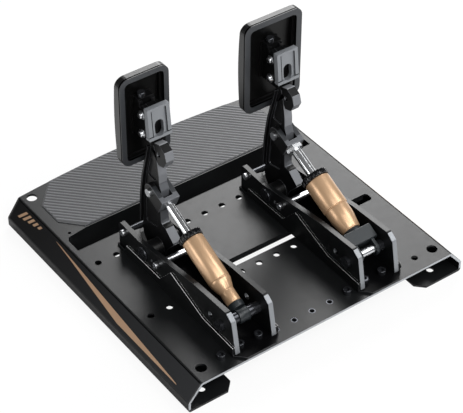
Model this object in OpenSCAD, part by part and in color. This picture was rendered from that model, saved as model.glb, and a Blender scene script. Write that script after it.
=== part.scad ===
// Two-pedal set for a driving rig: a folded steel base carries a throttle and
// a brake. Each pedal arm turns between two cheek plates and pushes a damper.
// Axes: +X to the driver's right, +Y away from the driver, +Z up.
// The origin is on the floor, under the middle of the base.

/* [Base plate] */
// Width of the flat top of the base
top_w = 354; // [350:1:380]
// Depth of the base, from the middle of the heel edge to the rear edge
base_d = 390; // [388:1:410]
// Height of the top face above the floor
base_h = 35; // [32:1:45]
// How far each folded side leans out below the top
flare = 17.5; // [14:0.5:24]
// Height of the upright lip at the foot of each side
lip_h = 14; // [10:1:18]
// Thickness of the folded sheet
sheet_t = 3; // [2:0.5:4]
// Width of each foot flange, measured inwards from the lip
foot_w = 63; // [56:1:70]
// Cut corner of a foot flange
foot_cut = 10.5; // [6:0.5:14]
// How far the heel edge bows towards the driver
heel_bow = 10; // [5:1:14]
// Diameter of the small grid holes
grid_hole_d = 8; // [6.5:0.5:9]
// Spacing of the grid holes across the base
grid_pitch = 25; // [24:0.5:26]
// Place of the front row of grid holes, behind the middle of the base
front_row_y = -31; // [-33:1:-28]
// Place of the middle row of grid holes
mid_row_y = 77; // [75:1:80]
// Diameter of the four large holes over the rig holes
access_hole_d = 13; // [11:0.5:16]
// Diameter of the rig holes in the foot flanges
rig_hole_d = 9; // [6.5:0.5:10]
// Distance of the rig holes from the edges of the flat top
rig_inset_x = 13; // [12:0.5:18]
// Distance of the rig holes from the rear edge
rig_inset_y = 19.5; // [17:0.5:22]
// Distance of the cable slot's left end from the edge of the flat top
slot_inset = 11; // [9:1:16]
// Length of the cable slot
slot_l = 250; // [200:1:252]
// Width of the cable slot
slot_w = 13; // [8:0.5:14]
// Place of the cable slot, behind the middle of the base
slot_y = 59; // [57:1:61]
// Height of the lip folded down along the slot
slot_lip_h = 8; // [5:0.5:9]

/* [Window and channel] */
// Distance of the window's ends from the edges of the flat top
window_inset = 7; // [6:0.5:15]
// Width of the window
window_w = 30; // [24:1:32]
// Place of the middle of the window, ahead of the middle of the base
window_y = -77; // [-80:1:-75]
// Wall thickness of the channel under the window
channel_t = 2.5; // [1.5:0.5:3]
// Distance of the channel screws from each end of the window
channel_screw_inset = 15; // [12:1:20]

/* [Heel mat] */
// Thickness of the heel mat
mat_t = 1; // [0.5:0.5:3]
// Bare border on each side of the mat
mat_border = 14.5; // [12:0.5:20]
// Sideways size of the mat's cut corners at the heel
mat_cut_front = 30.5; // [20:0.5:34]
// Size of the mat's cut corners at the window
mat_cut_rear = 22.5; // [14:0.5:26]
// Bare strip between the mat and the window
mat_gap = 2; // [1:0.5:5]

/* [Pedal places] */
// Middle of the throttle, right of the middle of the base
throttle_x = 96.5; // [92:0.5:100]
// Middle of the brake
brake_x = -78.5; // [-84:0.5:-74]
// Height of the pedal pivot above the base's top face
pivot_h = 21.5; // [19:0.5:23]
// Place of the pedal pivot along the base
pivot_y = 6; // [4:0.5:8]
// Place of the fork pin along the base, at rest
fork_pin_y = -1; // [-3:0.5:1]
// Height of the fork pin above the base's top face, at rest
fork_pin_h = 99.5; // [96:0.5:103]
// Distance of the damper's lower pin from the rear end of the cheek plates
lower_pin_inset = 27; // [24:0.5:31]
// Height of the damper's lower pin above the base's top face
lower_pin_h = 27; // [24:0.5:30]

/* [Bracket] */
// Thickness of the bracket's folded sheet
bracket_t = 3; // [2:0.5:4]
// Thickness of a cheek plate
cheek_t = 6; // [4:0.5:8]
// Clear width between the cheek plates
cheek_gap = 43.5; // [42:0.5:50]
// Front end of the cheek plates
cheek_front_y = -44; // [-48:1:-40]
// Distance of the cheek plates' rear end from the rear edge of the base
cheek_inset = 11; // [9:1:16]
// Height of a cheek plate over its front half
cheek_low_h = 30; // [27:0.5:36]
// Height of a cheek plate at its rear shoulder
cheek_high_h = 48.5; // [42:0.5:54]
// Height of the bracket wall at its low front and rear
wall_low_h = 12; // [8:0.5:15]
// Height of the bracket wall at its peak
wall_peak_h = 37; // [30:0.5:40]
// Place of the wall's peak along the base
wall_peak_y = 65; // [60:1:72]
// Diameter of the stop bar and the rest bar
bar_d = 8; // [6:0.5:10]
// Diameter of the bracket's floor screws
floor_screw_d = 6; // [5:0.5:6]

/* [Arm] */
// Thickness of the pedal arm
arm_t = 11; // [8:0.5:13]
// Depth of the arm at the fork pin
arm_depth = 31; // [28:0.5:34]
// Radius of the round lobe at the back of the arm
lobe_r = 15; // [12:0.5:16]
// Width of the flange along the front of the arm
flange_w = 20; // [14:1:22]
// Thickness of the flange
flange_t = 2.5; // [1.5:0.5:4]
// Diameter of the pivot shaft
shaft_d = 10; // [8:0.5:12]
// Outer diameter of the arm's hub
hub_d = 22; // [19:0.5:24]
// Depth of the pocket milled in each side of the arm
pocket_depth = 1.5; // [0.5:0.5:2.5]

/* [Pads] */
// Width of the throttle pad
throttle_pad_w = 64; // [56:1:76]
// Width of the brake pad
brake_pad_w = 80; // [70:1:92]
// Height of the throttle pad
throttle_pad_h = 118; // [108:1:128]
// Height of the brake pad
brake_pad_h = 121; // [110:1:130]
// Depth of a pad at the middle of its curved face
pad_depth = 13; // [12:0.5:16]
// How far the face of a pad curves back at its ends
pad_crown = 3.5; // [1:0.5:5]
// Width of the rim round the hollow back of the throttle pad
throttle_pad_rim = 6.5; // [5:0.5:8]
// Width of the rim round the hollow back of the brake pad
brake_pad_rim = 7.5; // [5:0.5:9]
// Width of the step inside a pad's hollow
pad_step = 3; // [1.5:0.5:4]
// Thickness of a pad's sheet under its hollow
pad_floor = 2.5; // [2:0.5:3]
// Corner radius of a pad
pad_corner_r = 11; // [8.5:0.5:16]
// Width of the pad carrier, over its two ears
carrier_w = 20; // [18:0.5:26]
// Height of the pad carrier
carrier_h = 46; // [42:1:52]

/* [Dampers] */
// Diameter of the throttle's damper body
throttle_body_d = 26; // [24:0.5:28]
// Diameter of the brake's damper body
brake_body_d = 31; // [29:0.5:34]
// Diameter of the narrow collar at the foot of the throttle's damper
throttle_collar_d = 17.5; // [15:0.5:20]
// Diameter at the foot of the brake's damper
brake_collar_d = 24; // [20:0.5:26]
// Diameter of the throttle's piston rod
throttle_rod_d = 10; // [8:0.5:11]
// Diameter of the brake's piston rod
brake_rod_d = 12; // [9:0.5:13]
// Diameter of the fork pin and the damper's lower pin
pin_d = 8; // [6:0.5:9]
// Width of the fork, over its two ears
fork_w = 24; // [23:0.5:26]
// Height of the fork
fork_h = 20; // [16:0.5:22]
// Length of the rod in view at rest
rod_view = 42; // [38:1:46]
// Thickness of a preload ring
ring_t = 7; // [5:0.5:9]
// How far a preload ring stands out round the body
ring_lip = 1; // [0.5:0.5:1.5]
// Grip notches round a preload ring
ring_notches = 18; // [12:1:24]

/* [Fits] */
// Radial clearance of shafts, pins and rods in their holes
fit = 0.05; // [0.03:0.01:0.08]
// Side gap between faces that slide past each other
side_gap = 0.4; // [0.3:0.1:0.6]
// Radial clearance of the fork pin in the arm's hole
open_pivot_gap = 0.8; // [0.8:0.1:1.2]

/* [Hidden] */
$fn = 48;

// Colours of the finishes
steel_black = "#1b1c1e";
mat_grey = "#9a9b9d";
copper = "#c79a6b";
bright = "#d5d7d9";
bronze = "#b08d57";
cell_grey = "#55585c";
rod_end_grey = "#3a3c3f";
pad_grey = "#a9abad";
plate_grey = "#b9babc";
rubber_black = "#151515";

// A length past a face that a cut runs through
over = 1;
// Segments in each rounded corner
arc_n = 6;

// Base
half_w = top_w / 2;
foot_x = half_w + flare;
front_y = -base_d / 2;
rear_y = base_d / 2;
lean = atan2(flare, base_h - lip_h);
bow_r = (half_w * half_w + heel_bow * heel_bow) / (2 * heel_bow);
under_h = base_h - sheet_t;
rig_dx = top_w - 2 * rig_inset_x;
rig_dy = base_d - 2 * rig_inset_y;
rear_row_y = rig_dy / 2;
row_shift = grid_pitch / 2;
slot_end_x = slot_inset - half_w;
cheek_rear_y = rear_y - cheek_inset;

// Channel and window
window_l = top_w - 2 * window_inset;
window_front = window_y - window_w / 2;
window_rear = window_y + window_w / 2;
window_slant = [27, 4];
eyelet_run = [15.5, 2.5];
channel_l = window_l + 2 * channel_t;
channel_floor_top = sheet_t + channel_t;
channel_screw_x = window_l / 2 - channel_screw_inset;

// Screws: head diameter and height grow with the thread
function head_d(d) = 1.5 * d + 1;
function nut_af(d) = 1.6 * d;
small_screw_d = 5;
screw_play = 0.3;

// Bracket
floor_top = base_h + bracket_t;
cheek_in = cheek_gap / 2;
cheek_out = cheek_in + cheek_t;
wall_out = cheek_out + bracket_t;
shoulder_run = [18, 8];
shoulder_drop = 7.5;
tail_cut = 12;
floor_screw_y = [front_row_y, rear_row_y];

// Grid holes that carry each bracket's floor screws
throttle_holes = [3, 4];
brake_holes = [-4, -3];

// Pivots of one pedal, as [y, z]
pivot = [pivot_y, base_h + pivot_h];
fork_pin = [fork_pin_y, base_h + fork_pin_h];
lower_pin = [cheek_rear_y - lower_pin_inset, base_h + lower_pin_h];
stop_bar_run = [29.5, 4.5];
stop_bar = pivot + stop_bar_run;
link = fork_pin - lower_pin;
damper_l = norm(link);
damper_tilt = atan2(-link.x, link.y);
pin_r = pin_d / 2;
pin_lip = 1;
shaft_r = shaft_d / 2;
rim_gap = 0.3;
shaft_ring_r = pivot_h - wall_low_h - rim_gap;
bush_wall = 2;
bush_l = 12;
bush_r = shaft_r + bush_wall;
hub_r = hub_d / 2;
bar_r = bar_d / 2;

// Arm outline, measured from the pivot and the fork pin
arm_half = arm_t / 2;
arm_h = 191;
fork_pin_inset = 10;
nose_run = 5;
arm_rear = fork_pin.x + fork_pin_inset;
arm_front = arm_rear - arm_depth;
arm_top = pivot.y + arm_h;
lobe_run = [0.5, 56.5];
lobe = [arm_rear + lobe_run.x, arm_top - lobe_run.y];
arm_nose = arm_front - nose_run;
lug_run = 3.5;
rest_gap = 0.5;
rest_bar_rise = 5.5;
rest_bar = [arm_nose - rest_gap - bar_r, pivot.y + rest_bar_rise];
bolt_run = [23, 38.5];
bolt_pitch = 25;
bolt_low = [arm_rear - bolt_run.x, arm_top - bolt_run.y];
bolt_high = bolt_low + [0, bolt_pitch];

// Pads and carriers
pad_run = [31.5, 25.5];
pad_back_y = arm_rear - pad_run.x;
pad_mid_z = arm_top - pad_run.y;
pad_screw_dz = [-15, 15];
pad_screw_depth = 2;
face_r = (pow(throttle_pad_h / 2, 2) + pad_crown * pad_crown) / (2 * pad_crown);
face_y = pad_back_y - pad_depth;
carrier_front_y = face_y + crown_drop(throttle_pad_h / 2 - throttle_pad_rim) + pad_floor;
plate_run = 9.6;
carrier_foot = 8;
carrier_rear_y = arm_rear - plate_run;
carrier_low_z = bolt_low.y - carrier_foot;
carrier_high_z = carrier_low_z + carrier_h;
carrier_base_t = 9.5;
knob_x = 3;
trough = [4.5, 5];
trough_y = bolt_low.x - trough.x;
ear_t = (carrier_w - arm_t) / 2;
plate_w = 29;
plate_h = 40;
plate_t = 5;
plate_lean = 6;
plate_dz = 6.8;

// Dampers, measured along the axis from the lower pin
fork_l = 23;
fork_bar_t = 6;
fork_bar_z = damper_l - fork_l;
ring_z = fork_bar_z - rod_view - ring_t;
gland_t = 6;
piston_t = 7;
wall_t = 2.5;
eye_w = 14;
eye_wall = 4.5;
eye_r = pin_r + eye_wall;
cell_size = [37, 22, 18];
cell_neck_h = 3.5;
cell_fork_gap = 20;
cell_ear_t = 4;
cell_ear_r = eye_r;
piston_top = ring_z - gland_t - 2;

// Ends of a tube's collar, cone and neck, along the axis
throttle_tube = [15, 31, 43, 46];
brake_tube = [30, 32, 48, 62];
throttle_stroke = 22;
brake_stroke = 15;

function unit(v) = v / norm(v);
function turn(v, a) = [v.x * cos(a) - v.y * sin(a), v.x * sin(a) + v.y * cos(a)];
function cross2(u, v) = u.x * v.y - u.y * v.x;

// The points of corner q, between p and s, rounded to radius r
function corner(p, q, s, r) =
    let (
        u = unit(p - q),
        v = unit(s - q),
        half = acos(u * v) / 2,
        centre = q + unit(u + v) * r / sin(half),
        start = q + u * r / tan(half) - centre,
        sweep = sign(cross2(q - p, s - q)) * (180 - 2 * half)
    )
    r <= 0 ? [q] : [for (i = [0:arc_n]) centre + turn(start, sweep * i / arc_n)];

// An outline with each corner rounded to its own radius
function rounded(pts, radii) =
    let (n = len(pts))
    [for (i = [0:n - 1]) each corner(pts[(i + n - 1) % n], pts[i], pts[(i + 1) % n], radii[i])];

// A rectangle's corners, from its middle
function box_pts(w, h) = [[-w / 2, -h / 2], [w / 2, -h / 2], [w / 2, h / 2], [-w / 2, h / 2]];

// Place of a grid hole across the base
function grid_x(k) = row_shift + grid_pitch * k;

// The heel edge's place at a distance x from the middle
function bow_y(x) = front_y + bow_r - sqrt(bow_r * bow_r - x * x);

// How far a curved pad face lies back at a height from its middle
function crown_drop(dz) = face_r - sqrt(face_r * face_r - dz * dz);

// Mirrors an outline's points left to right
function flip_x(pts) = [for (i = [len(pts) - 1:-1:0]) [-pts[i].x, pts[i].y]];

// A plate with a Y-Z outline, from x to x + t
module plate_yz(x, t, pts) {
    translate([x, 0, 0])
        rotate([90, 0, 90])
            linear_extrude(t)
                polygon(pts);
}

// A round bar or hole along X at p = [y, z]
module bar_x(p, r, x0, x1) {
    translate([x0, p.x, p.y])
        rotate([0, 90, 0])
            cylinder(r = r, h = x1 - x0);
}

// A ring along X at p = [y, z]
module ring_x(p, r_in, r_out, x0, x1) {
    difference() {
        bar_x(p, r_out, x0, x1);
        bar_x(p, r_in, x0 - over, x1 + over);
    }
}

// A socket-head screw whose head stands on z = 0
module cap_screw(d, l) {
    head_r = head_d(d) / 2;
    difference() {
        union() {
            rotate_extrude()
                polygon(rounded([[0, 0], [head_r, 0], [head_r, d], [0, d]], [0, 0, d / 8, 0]));
            translate([0, 0, -l])
                cylinder(r = d / 2, h = l + d / 2);
        }
        translate([0, 0, d / 2])
            cylinder(r = d * 0.48, h = d, $fn = 6);
    }
}

// A domed bolt on its washer, which lies on z = 0
module domed_bolt(d, l) {
    rotate_extrude()
        polygon(rounded([[0, 0], [1.1 * d, 0], [1.1 * d, 1], [0.9 * d, 1], [0.7 * d, 4], [0, 4]],
            [0, 0, 0.3, 0, 1.5, 0]));
    translate([0, 0, -l])
        cylinder(r = d / 2, h = l + 1);
}

// A hexagon nut standing on z = 0
module hex_nut(d, af, h) {
    difference() {
        cylinder(r = af / 2 / cos(30), h = h, $fn = 6);
        translate([0, 0, -over])
            cylinder(r = d / 2 + fit, h = h + 2 * over);
    }
}

// A screw through the base at [x, y], with its nut below the top
module base_screw(p, grip) {
    nut_h = 0.8 * floor_screw_d;
    translate([p.x, p.y, under_h + grip])
        cap_screw(floor_screw_d, grip + nut_h + over);
    translate([p.x, p.y, under_h - nut_h])
        hex_nut(floor_screw_d, nut_af(floor_screw_d), nut_h);
}

// Puts a pedal's pieces at its place across the base
module at(x) {
    translate([x, 0, 0])
        children();
}

// Draws its pieces and their mirror image across the pedal's middle
module both_sides() {
    children();
    mirror([1, 0, 0])
        children();
}

// Local Z runs up the damper's axis from its lower pin
module on_damper() {
    translate([0, lower_pin.x, lower_pin.y])
        rotate([damper_tilt, 0, 0])
            children();
}

// Base

// The folded section: top, leaning sides, lips and foot flanges
module folded_section() {
    lip_in = lip_h - sheet_t * tan(lean / 2);
    top_in = half_w - sheet_t * tan((90 - lean) / 2);
    bend = sheet_t + 0.5;
    side = rounded([
        [foot_x - foot_w, 0],
        [foot_x, 0],
        [foot_x, lip_h],
        [half_w, base_h],
        [0, base_h],
        [0, under_h],
        [top_in, under_h],
        [foot_x - sheet_t, lip_in],
        [foot_x - sheet_t, sheet_t],
        [foot_x - foot_w, sheet_t]
    ], [0, bend, bend, bend, 0, 0, 0.5, 0.5, 0.5, 0]);
    polygon(side);
    polygon(flip_x(side));
}

// The window's outline; its front corners slant back
function window_half(sx) = [
    [0, window_front],
    [sx * (window_l / 2 - window_slant.x - 3), window_front],
    [sx * (window_l / 2 - 3), window_front + window_slant.y],
    [sx * window_l / 2, window_front + window_slant.y + 5],
    [sx * window_l / 2, window_rear],
    [0, window_rear]
];

module base_plate() {
    color(steel_black)
    difference() {
        union() {
            intersection() {
                translate([0, rear_y, 0])
                    rotate([90, 0, 0])
                        linear_extrude(base_d)
                            folded_section();
                translate([0, front_y + bow_r, -over])
                    cylinder(r = bow_r, h = base_h + 2 * over, $fn = 720);
            }
            // Lip folded down along the front of the slot
            translate([slot_end_x + 4, slot_y - slot_w / 2 - sheet_t, base_h - slot_lip_h])
                cube([slot_l - 8, sheet_t, slot_lip_h - 0.1]);
        }
        translate([0, 0, under_h - over]) {
            for (sx = [-1, 1])
                linear_extrude(sheet_t + 2 * over)
                    polygon(window_half(sx));
            translate([slot_end_x + slot_l / 2, slot_y, 0])
                linear_extrude(sheet_t + 2 * over)
                    polygon(rounded(box_pts(slot_l, slot_w), [4, 4, 4, 4]));
            for (k = [-4:6])
                grid_hole(grid_x(k), front_row_y);
            for (k = [-2:6])
                grid_hole(grid_x(k), mid_row_y);
            for (k = [-6:5])
                grid_hole(grid_x(k), rear_row_y);
            for (sx = [-1, 1]) {
                translate([sx * (half_w - eyelet_run.x), window_front - eyelet_run.y, 0])
                    cylinder(r = 2, h = sheet_t + 2 * over);
                for (sy = [-1, 1])
                    translate([sx * rig_dx / 2, sy * rig_dy / 2, 0])
                        cylinder(r = access_hole_d / 2, h = sheet_t + 2 * over);
            }
        }
        for (sx = [-1, 1]) {
            for (sy = [-1, 1])
                translate([sx * rig_dx / 2, sy * rig_dy / 2, -over])
                    cylinder(r = rig_hole_d / 2, h = sheet_t + 2 * over);
            translate([sx * channel_screw_x, window_y, -over])
                cylinder(r = small_screw_d / 2 + screw_play, h = sheet_t + 2 * over);
            // Cut rear corner of the foot flange
            translate([sx * (foot_x - foot_w), rear_y, sheet_t / 2])
                rotate([0, 0, 45])
                    cube([foot_cut * sqrt(2), foot_cut * sqrt(2), sheet_t + over], center = true);
        }
    }
}

module grid_hole(x, y) {
    translate([x, y, 0])
        cylinder(r = grid_hole_d / 2, h = sheet_t + 2 * over);
}

module cross_channel() {
    color(steel_black)
    translate([0, window_y, 0])
    difference() {
        translate([-channel_l / 2, -window_w / 2 - channel_t, sheet_t])
            cube([channel_l, window_w + 2 * channel_t, under_h - sheet_t]);
        translate([-window_l / 2, -window_w / 2, channel_floor_top])
            cube([window_l, window_w, under_h]);
        for (sx = [-1, 1])
            translate([sx * channel_screw_x, 0, 0])
                cylinder(r = small_screw_d / 2 + screw_play, h = base_h);
    }
}

module channel_screws() {
    color(bright)
    for (sx = [-1, 1])
        translate([sx * channel_screw_x, window_y, channel_floor_top])
            cap_screw(small_screw_d, channel_floor_top - 0.5);
}

module heel_mat() {
    side_x = half_w - mat_border;
    nose_x = side_x - mat_cut_front;
    steps = 24;
    rear = window_front - mat_gap;
    front = [for (i = [0:steps]) let (x = nose_x * (2 * i / steps - 1)) [x, bow_y(x) + 0.5]];
    color(mat_grey)
    translate([0, 0, base_h])
        linear_extrude(mat_t)
            polygon(concat(front, [
                [side_x, bow_y(nose_x) + 1.13 * mat_cut_front],
                [side_x, rear - 1.1 * mat_cut_rear],
                [side_x - mat_cut_rear, rear],
                [mat_cut_rear - side_x, rear],
                [-side_x, rear - 1.1 * mat_cut_rear],
                [-side_x, bow_y(nose_x) + 1.13 * mat_cut_front]
            ]));
}

module plate_screws() {
    color(bright)
    for (k = [-2, 5])
        base_screw([grid_x(k), rear_row_y], sheet_t);
}

// Closed rivet nuts in the rear row's holes between the brackets
module rear_row_nuts() {
    shank_r = grid_hole_d / 2 - fit;
    below = 5.5;
    bulge = [1.2, 1.8];
    color(steel_black)
    for (k = [-1:2])
        translate([grid_x(k), rear_row_y, under_h])
            difference() {
                rotate_extrude()
                    polygon([
                        [0, -below],
                        [shank_r, -below],
                        [shank_r, -bulge.y],
                        [shank_r + bulge.x, -bulge.y],
                        [shank_r + bulge.x, 0],
                        [shank_r, 0],
                        [shank_r, sheet_t - 0.2],
                        [0, sheet_t - 0.2]
                    ]);
                translate([0, 0, 1.5 - below])
                    cylinder(r = floor_screw_d / 2, h = below + sheet_t);
            }
}

// Bracket

module bracket(x, ks) {
    tail = wall_out - tail_cut;
    wall_end = cheek_rear_y - 1;
    low = base_h + wall_low_h;
    wall = rounded([
        [cheek_front_y + 14, base_h],
        [cheek_front_y + 18, low],
        [wall_peak_y - 22, low],
        [wall_peak_y, base_h + wall_peak_h],
        [wall_peak_y + 62, low + 3],
        [wall_end, low + 1],
        [wall_end, base_h]
    ], [0, 3, 3, 2, 10, 1, 0]);
    color(steel_black)
    difference() {
        union() {
            translate([0, 0, base_h])
                linear_extrude(bracket_t)
                    polygon([
                        [-wall_out, cheek_front_y],
                        [wall_out, cheek_front_y],
                        [wall_out, cheek_rear_y],
                        [tail, rear_y],
                        [-tail, rear_y],
                        [-wall_out, cheek_rear_y]
                    ]);
            plate_yz(cheek_out, bracket_t, wall);
            plate_yz(-wall_out, bracket_t, wall);
        }
        for (k = ks, y = floor_screw_y)
            translate([grid_x(k) - x, y, base_h - over])
                cylinder(r = floor_screw_d / 2 + screw_play, h = bracket_t + 2 * over);
    }
}

module floor_screws(x, ks) {
    color(bright)
    for (k = ks, y = floor_screw_y)
        base_screw([grid_x(k) - x, y], sheet_t + bracket_t);
}

// A cheek plate on side s, with a gusset on its inner face
module cheek(s) {
    top = floor_top + cheek_high_h;
    nose = floor_top + cheek_low_h;
    outline = rounded([
        [cheek_front_y, floor_top],
        [cheek_front_y, nose + 2],
        [pivot.x - 9, nose],
        [cheek_rear_y - 79, top - 3.2],
        [cheek_rear_y - shoulder_run.x, top],
        [cheek_rear_y - shoulder_run.y, top - shoulder_drop],
        [cheek_rear_y, floor_top]
    ], [0, 4, 10, 30, 5, 3, 0]);
    color(steel_black)
    mirror([s < 0 ? 1 : 0, 0, 0])
    difference() {
        union() {
            plate_yz(cheek_in, cheek_t, outline);
            translate([cheek_in, pivot.x, nose - 5])
                linear_extrude(4.8)
                    polygon([[0.5, -28], [-3, -28], [-8, -26.5], [-1.5, -15.5], [0, -9], [0.5, -9]]);
        }
        bar_x(pivot, shaft_r + fit, cheek_in - over, cheek_out + over);
        bar_x(stop_bar, small_screw_d / 2 + fit, cheek_in - over, cheek_out + over);
        bar_x(rest_bar, small_screw_d / 2 + fit, cheek_in - over, cheek_out + over);
        bar_x(lower_pin, pin_r + fit, cheek_in - over, cheek_out + over);
        bar_x(lower_pin - [20, 0], pin_r + fit, cheek_in - over, cheek_out + over);
        bar_x(pivot + [17.5, 1], 2.5, cheek_in - over, cheek_out + over);
    }
}

// A round bar between the cheeks, tapped at both ends
module cross_bar(p) {
    depth = 12;
    color(bright)
    difference() {
        bar_x(p, bar_r, -cheek_in, cheek_in);
        bar_x(p, small_screw_d / 2 + fit, -cheek_in - over, depth - cheek_in);
        bar_x(p, small_screw_d / 2 + fit, cheek_in - depth, cheek_in + over);
    }
}

module bar_screws() {
    color(bright)
    for (p = [stop_bar, rest_bar])
        both_sides()
            translate([cheek_out, p.x, p.y])
                rotate([0, 90, 0])
                    cap_screw(small_screw_d, cheek_t + 10);
}

module pivot_shaft() {
    color(bright)
        bar_x(pivot, shaft_r, -cheek_out - 3, cheek_out + 3);
}

module shaft_rings() {
    color(bright)
    both_sides()
        ring_x(pivot, shaft_r + fit, shaft_ring_r, cheek_out, cheek_out + 2.5);
}

module hub_bushes() {
    end = cheek_in - side_gap;
    color(bronze)
    both_sides()
        ring_x(pivot, shaft_r + fit, bush_r, end - bush_l, end);
}

// Arm

// A skin along the front of the arm's outline, as wide as the flange
module front_skin(outline) {
    difference() {
        plate_yz(-flange_w / 2, flange_w, outline);
        translate([0, flange_t, 0])
            plate_yz(-flange_w / 2 - over, flange_w + 2 * over, outline);
    }
}

module arm() {
    z0 = pivot.y;
    heel_low = z0 - 14;
    foot = pivot + [29, 22.5];
    outline = rounded([
        [arm_nose, heel_low],
        [arm_nose, z0 + 23],
        [arm_front - 2.5, z0 + 60],
        [arm_front + 2.5, z0 + 91],
        [arm_front + 15.5, arm_top - 50],
        [arm_front + 3, arm_top - 41],
        [arm_front + 3, arm_top],
        [arm_rear - 12.5, arm_top],
        [arm_rear - 12.5, arm_top - 43],
        [lobe.x - 6, lobe.y],
        [arm_rear - 0.5, z0 + 105],
        [arm_rear, fork_pin.y + 13.5],
        [arm_rear + lug_run, fork_pin.y + 7.3],
        [arm_rear + lug_run, fork_pin.y - 3],
        [arm_rear + 0.6, fork_pin.y - 8],
        [arm_rear + 1.5, z0 + 36],
        [arm_rear + 10, z0 + 35],
        foot,
        foot - [1, 2.5],
        [pivot.x + 16, z0 + 6],
        [pivot.x + 8, heel_low]
    ], [18, 40, 60, 60, 6, 3, 2, 2, 0, 0, 20, 1, 1, 1, 4, 6, 4, 1.5, 1.5, 8, 10]);
    hook = [for (a = [130, 84, 38, -5, -50, -95]) lobe + lobe_r * [cos(a), sin(a)]];
    pocket_low = rounded([
        [arm_nose + 7, z0 + 21],
        [arm_rear - 6, z0 + 26],
        [arm_rear - 7, z0 + 61],
        [arm_front + 5, z0 + 61]
    ], [4, 4, 3, 3]);
    pocket_high = rounded([
        [arm_front + 8.5, z0 + 93],
        [arm_rear - 6, z0 + 93],
        [arm_rear - 6.5, z0 + 118],
        [arm_front + 15.5, z0 + 124]
    ], [3, 3, 3, 3]);
    color(steel_black)
    difference() {
        union() {
            plate_yz(-arm_half, arm_t, outline);
            plate_yz(-arm_half, arm_t, rounded(hook, [2, 2, 2, 2, 2, 2]));
            intersection() {
                front_skin(outline);
                translate([-flange_w / 2, arm_nose - over, z0 + 18])
                    cube([flange_w, arm_depth, arm_h - 70]);
            }
            bar_x(pivot, hub_r, side_gap - cheek_in, cheek_in - side_gap);
        }
        bar_x(pivot, bush_r + fit, -cheek_in, cheek_in);
        bar_x(fork_pin, pin_r + open_pivot_gap, -arm_t, arm_t);
        bar_x(lobe, 3, -arm_t, arm_t);
        translate([-arm_t, arm_front, carrier_high_z - trough.y])
            cube([2 * arm_t, trough_y + trough.x - arm_front, arm_top]);
        for (p = [bolt_low, bolt_high])
            bar_x(p, small_screw_d / 2 + fit, -arm_t, arm_t);
        for (pocket = [pocket_low, pocket_high])
            both_sides()
                plate_yz(arm_half - pocket_depth, pocket_depth + over, pocket);
    }
}

// Pads

// A block with rounded corners seen from the driver, from y0 back to y1
module pad_block(w, h, r, y0, y1, z) {
    translate([0, y1, z])
        rotate([90, 0, 0])
            linear_extrude(y1 - y0)
                polygon(rounded(box_pts(w, h), [r, r, r, r]));
}

module pad(w, h, rim) {
    grip_pitch = 14;
    groove_w = 1.2;
    step_depth = 5;
    seat_w = carrier_w + 4;
    groove_y = pad_back_y - 0.8 - groove_w;
    color(pad_grey)
    difference() {
        intersection() {
            pad_block(w, h, pad_corner_r, face_y - over, pad_back_y, pad_mid_z);
            translate([-w / 2 - over, face_y + face_r, pad_mid_z])
                rotate([0, 90, 0])
                    cylinder(r = face_r, h = w + 2 * over, $fn = 360);
        }
        // Hollow: a step inside the rim, then a floor that follows the face
        pad_block(w - 2 * rim, h - 2 * rim, pad_corner_r / 2,
            pad_back_y - step_depth, pad_back_y + over, pad_mid_z);
        difference() {
            intersection() {
                pad_block(w - 2 * (rim + pad_step), h - 2 * (rim + pad_step), pad_corner_r / 3,
                    face_y, pad_back_y, pad_mid_z);
                translate([-w / 2, face_y + face_r, pad_mid_z])
                    rotate([0, 90, 0])
                        cylinder(r = face_r - pad_floor, h = w, $fn = 360);
            }
            // Seat for the carrier
            translate([-seat_w / 2, face_y, carrier_low_z - 2])
                cube([seat_w, carrier_front_y - face_y, carrier_h + 5]);
        }
        // Groove round the side, near the back
        difference() {
            pad_block(w + 2, h + 2, pad_corner_r + 1, groove_y, groove_y + groove_w, pad_mid_z);
            pad_block(w - 2, h - 2, pad_corner_r - 1, groove_y - over, pad_back_y, pad_mid_z);
        }
        // Grip grooves across the face
        for (i = [-3:3])
            translate([-w / 2 + rim, face_y - over, pad_mid_z + i * grip_pitch - 1])
                cube([w - 2 * rim, over + 0.8 + crown_drop(i * grip_pitch), 2]);
        for (dz = pad_screw_dz)
            translate([0, pad_back_y, pad_mid_z + dz])
                rotate([90, 0, 0])
                    cylinder(r = small_screw_d / 2 + fit, h = pad_depth + over);
    }
}

// The carrier: a base on the pad's back and two ears beside the arm
module pad_carrier() {
    base_rear = carrier_front_y + carrier_base_t;
    rear_low = carrier_rear_y + (carrier_h / 2) * tan(plate_lean);
    rear_high = carrier_rear_y - (carrier_h / 2) * tan(plate_lean);
    ear = [
        [base_rear - 0.5, carrier_low_z],
        [rear_low, carrier_low_z],
        [rear_high, carrier_high_z],
        [base_rear - 0.5, carrier_high_z]
    ];
    color(steel_black)
    difference() {
        union() {
            translate([-carrier_w / 2, carrier_front_y, carrier_low_z])
                cube([carrier_w, carrier_base_t, carrier_h + 3]);
            plate_yz(arm_half, ear_t, ear);
            plate_yz(-arm_half - ear_t, ear_t, ear);
        }
        for (p = [bolt_low, bolt_high])
            bar_x(p, small_screw_d / 2 + fit, -carrier_w, carrier_w);
        translate([-carrier_w, trough_y, carrier_high_z - trough.y])
            cube([2 * carrier_w, trough.x, trough.y + over]);
        translate([knob_x, carrier_front_y + carrier_base_t / 2, carrier_low_z + 10])
            cylinder(r = small_screw_d / 2 + fit, h = carrier_h);
        for (dz = pad_screw_dz)
            translate([0, carrier_front_y - over, pad_mid_z + dz])
                rotate([-90, 0, 0])
                    cylinder(r = small_screw_d / 2 + fit, h = pad_screw_depth + over);
    }
}

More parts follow.
